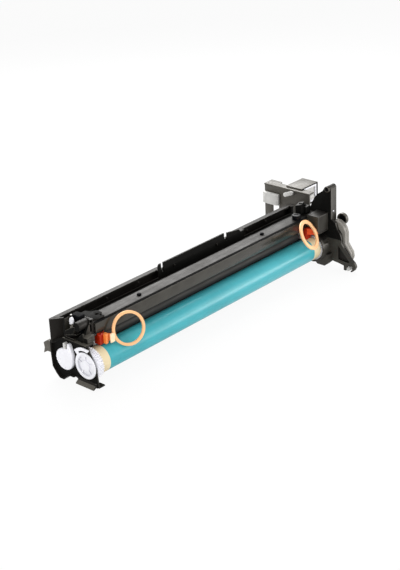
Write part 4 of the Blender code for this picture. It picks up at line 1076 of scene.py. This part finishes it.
class DRUMUNIT_OT_stage(PieceOperator):
    """Add the floor, the sky, the lights and the camera"""
    bl_idname = "drumunit.stage"
    bl_label = "Stage"

    def execute(self, context):
        stage = context.scene.drum_unit_stage
        context.scene.view_settings.view_transform = "Standard"
        self.floor(context)
        self.sky(context.scene, stage.sky)
        for name, power, wide, high, spot, lit, mirrored in LAMPS:
            lamp = bpy.data.lights.new(name, "AREA")
            lamp.energy = getattr(stage, power)
            lamp.shape = "RECTANGLE"
            lamp.size = wide
            lamp.size_y = high
            light = bpy.data.objects.new(name, lamp)
            context.scene.collection.objects.link(light)
            light.location = spot
            aim = Vector(LAMP_AIM) - Vector(spot)
            light.rotation_euler = aim.to_track_quat("-Z", "Y").to_euler()
            light.visible_diffuse = lit
            light.visible_glossy = mirrored
        self.camera(context.scene, stage.lens)
        return {"FINISHED"}

    def floor(self, context):
        """A pale floor that the camera sees almost white, with the object's shadow on it."""
        bpy.ops.object.select_all(action="DESELECT")
        bpy.ops.mesh.primitive_plane_add(size=FLOOR_SIZE, location=(0, 0, 0))
        floor = context.object
        floor.name = "floor"
        surface = Surface("pale_floor", Roughness=0.9, Base_Color=FLOOR_GREY)
        plain = Term(surface, surface.shader.outputs[0])
        glow = surface.node("Emission", None, {"Color": (1.0, 1.0, 1.0), "Strength": 1.0})
        blend = surface.node("MixShader", None, {0: surface.seen() * FLOOR_GLOW, 1: plain, 2: glow})
        surface.feed(surface.tree.nodes["Material Output"].inputs["Surface"], blend)
        floor.data.materials.append(surface.material)
        floor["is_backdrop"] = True

    def sky(self, scene, strength):
        """Even white light all round, and plain white where the background is seen."""
        scene.world = bpy.data.worlds.new("studio")
        scene.world.use_nodes = True
        nodes = Nodes(scene.world.node_tree)
        background = nodes.tree.nodes["Background"]
        nodes.feed(background.inputs["Color"], (1.0, 1.0, 1.0))
        nodes.feed(background.inputs["Strength"], nodes.seen() * (1.0 - strength) + strength)

    def camera(self, scene, lens):
        camera = bpy.data.objects.new("camera", bpy.data.cameras.new("camera"))
        scene.collection.objects.link(camera)
        camera.data.sensor_fit = "VERTICAL"
        camera.data.sensor_height = 36.0
        camera.data.lens = lens
        camera.data.clip_end = 20.0
        camera.matrix_world = self.photo_view()
        scene.camera = camera

    def photo_view(self):
        """The place and turn of the camera that took the photograph."""
        azimuth, elevation, roll = (math.radians(angle) for angle in CAMERA_ANGLES)
        ahead = Vector((-math.sin(azimuth) * math.cos(elevation),
                        math.cos(azimuth) * math.cos(elevation), -math.sin(elevation)))
        right = Vector((math.cos(azimuth), math.sin(azimuth), 0))
        upward = right.cross(ahead)
        side = math.cos(roll) * right + math.sin(roll) * upward
        top = math.cos(roll) * upward - math.sin(roll) * right
        turn = Matrix((side, top, -ahead)).transposed().to_4x4()
        return Matrix.Translation(at(*CAMERA_SPOT)) @ turn


OPERATORS = (DRUMUNIT_OT_carried, DRUMUNIT_OT_retainers, DRUMUNIT_OT_front_block,
             DRUMUNIT_OT_bearing, DRUMUNIT_OT_channel, DRUMUNIT_OT_drive_end, DRUMUNIT_OT_stage)


class DRUMUNIT_PT_panel(bpy.types.Panel):
    """Buttons that build the drum unit piece by piece"""
    bl_idname = "DRUMUNIT_PT_panel"
    bl_label = "Drum unit"
    bl_space_type = "VIEW_3D"
    bl_region_type = "UI"
    bl_category = "Drum unit"

    def draw(self, context):
        for group in (context.scene.drum_unit_colours, context.scene.drum_unit_sizes,
                      context.scene.drum_unit_stage):
            column = self.layout.column(align=True)
            for key in group.bl_rna.properties.keys():
                if key not in ("rna_type", "name"):
                    column.prop(group, key)
        for operator in OPERATORS:
            self.layout.operator(operator.bl_idname)


GROUPS = {"drum_unit_colours": DrumUnitColours, "drum_unit_sizes": DrumUnitSizes,
          "drum_unit_stage": DrumUnitStage}


def register():
    for name, group in GROUPS.items():
        bpy.utils.register_class(group)
        setattr(bpy.types.Scene, name, bpy.props.PointerProperty(type=group))
    for kind in (*OPERATORS, DRUMUNIT_PT_panel):
        bpy.utils.register_class(kind)


def unregister():
    for kind in (DRUMUNIT_PT_panel, *reversed(OPERATORS)):
        bpy.utils.unregister_class(kind)
    for name, group in GROUPS.items():
        delattr(bpy.types.Scene, name)
        bpy.utils.unregister_class(group)


def main():
    register()
    for operator in OPERATORS:
        group, name = operator.bl_idname.split(".")
        getattr(getattr(bpy.ops, group), name)()
    boxes = {"cad": CAD_BOX, "visual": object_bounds()}
    rows = ['"%s": [%s, %s]' % (name, list(low), list(high)) for name, (low, high) in boxes.items()]
    "{" + ",\n ".join(rows) + "}\n"


if __name__ == "__main__":
    main()
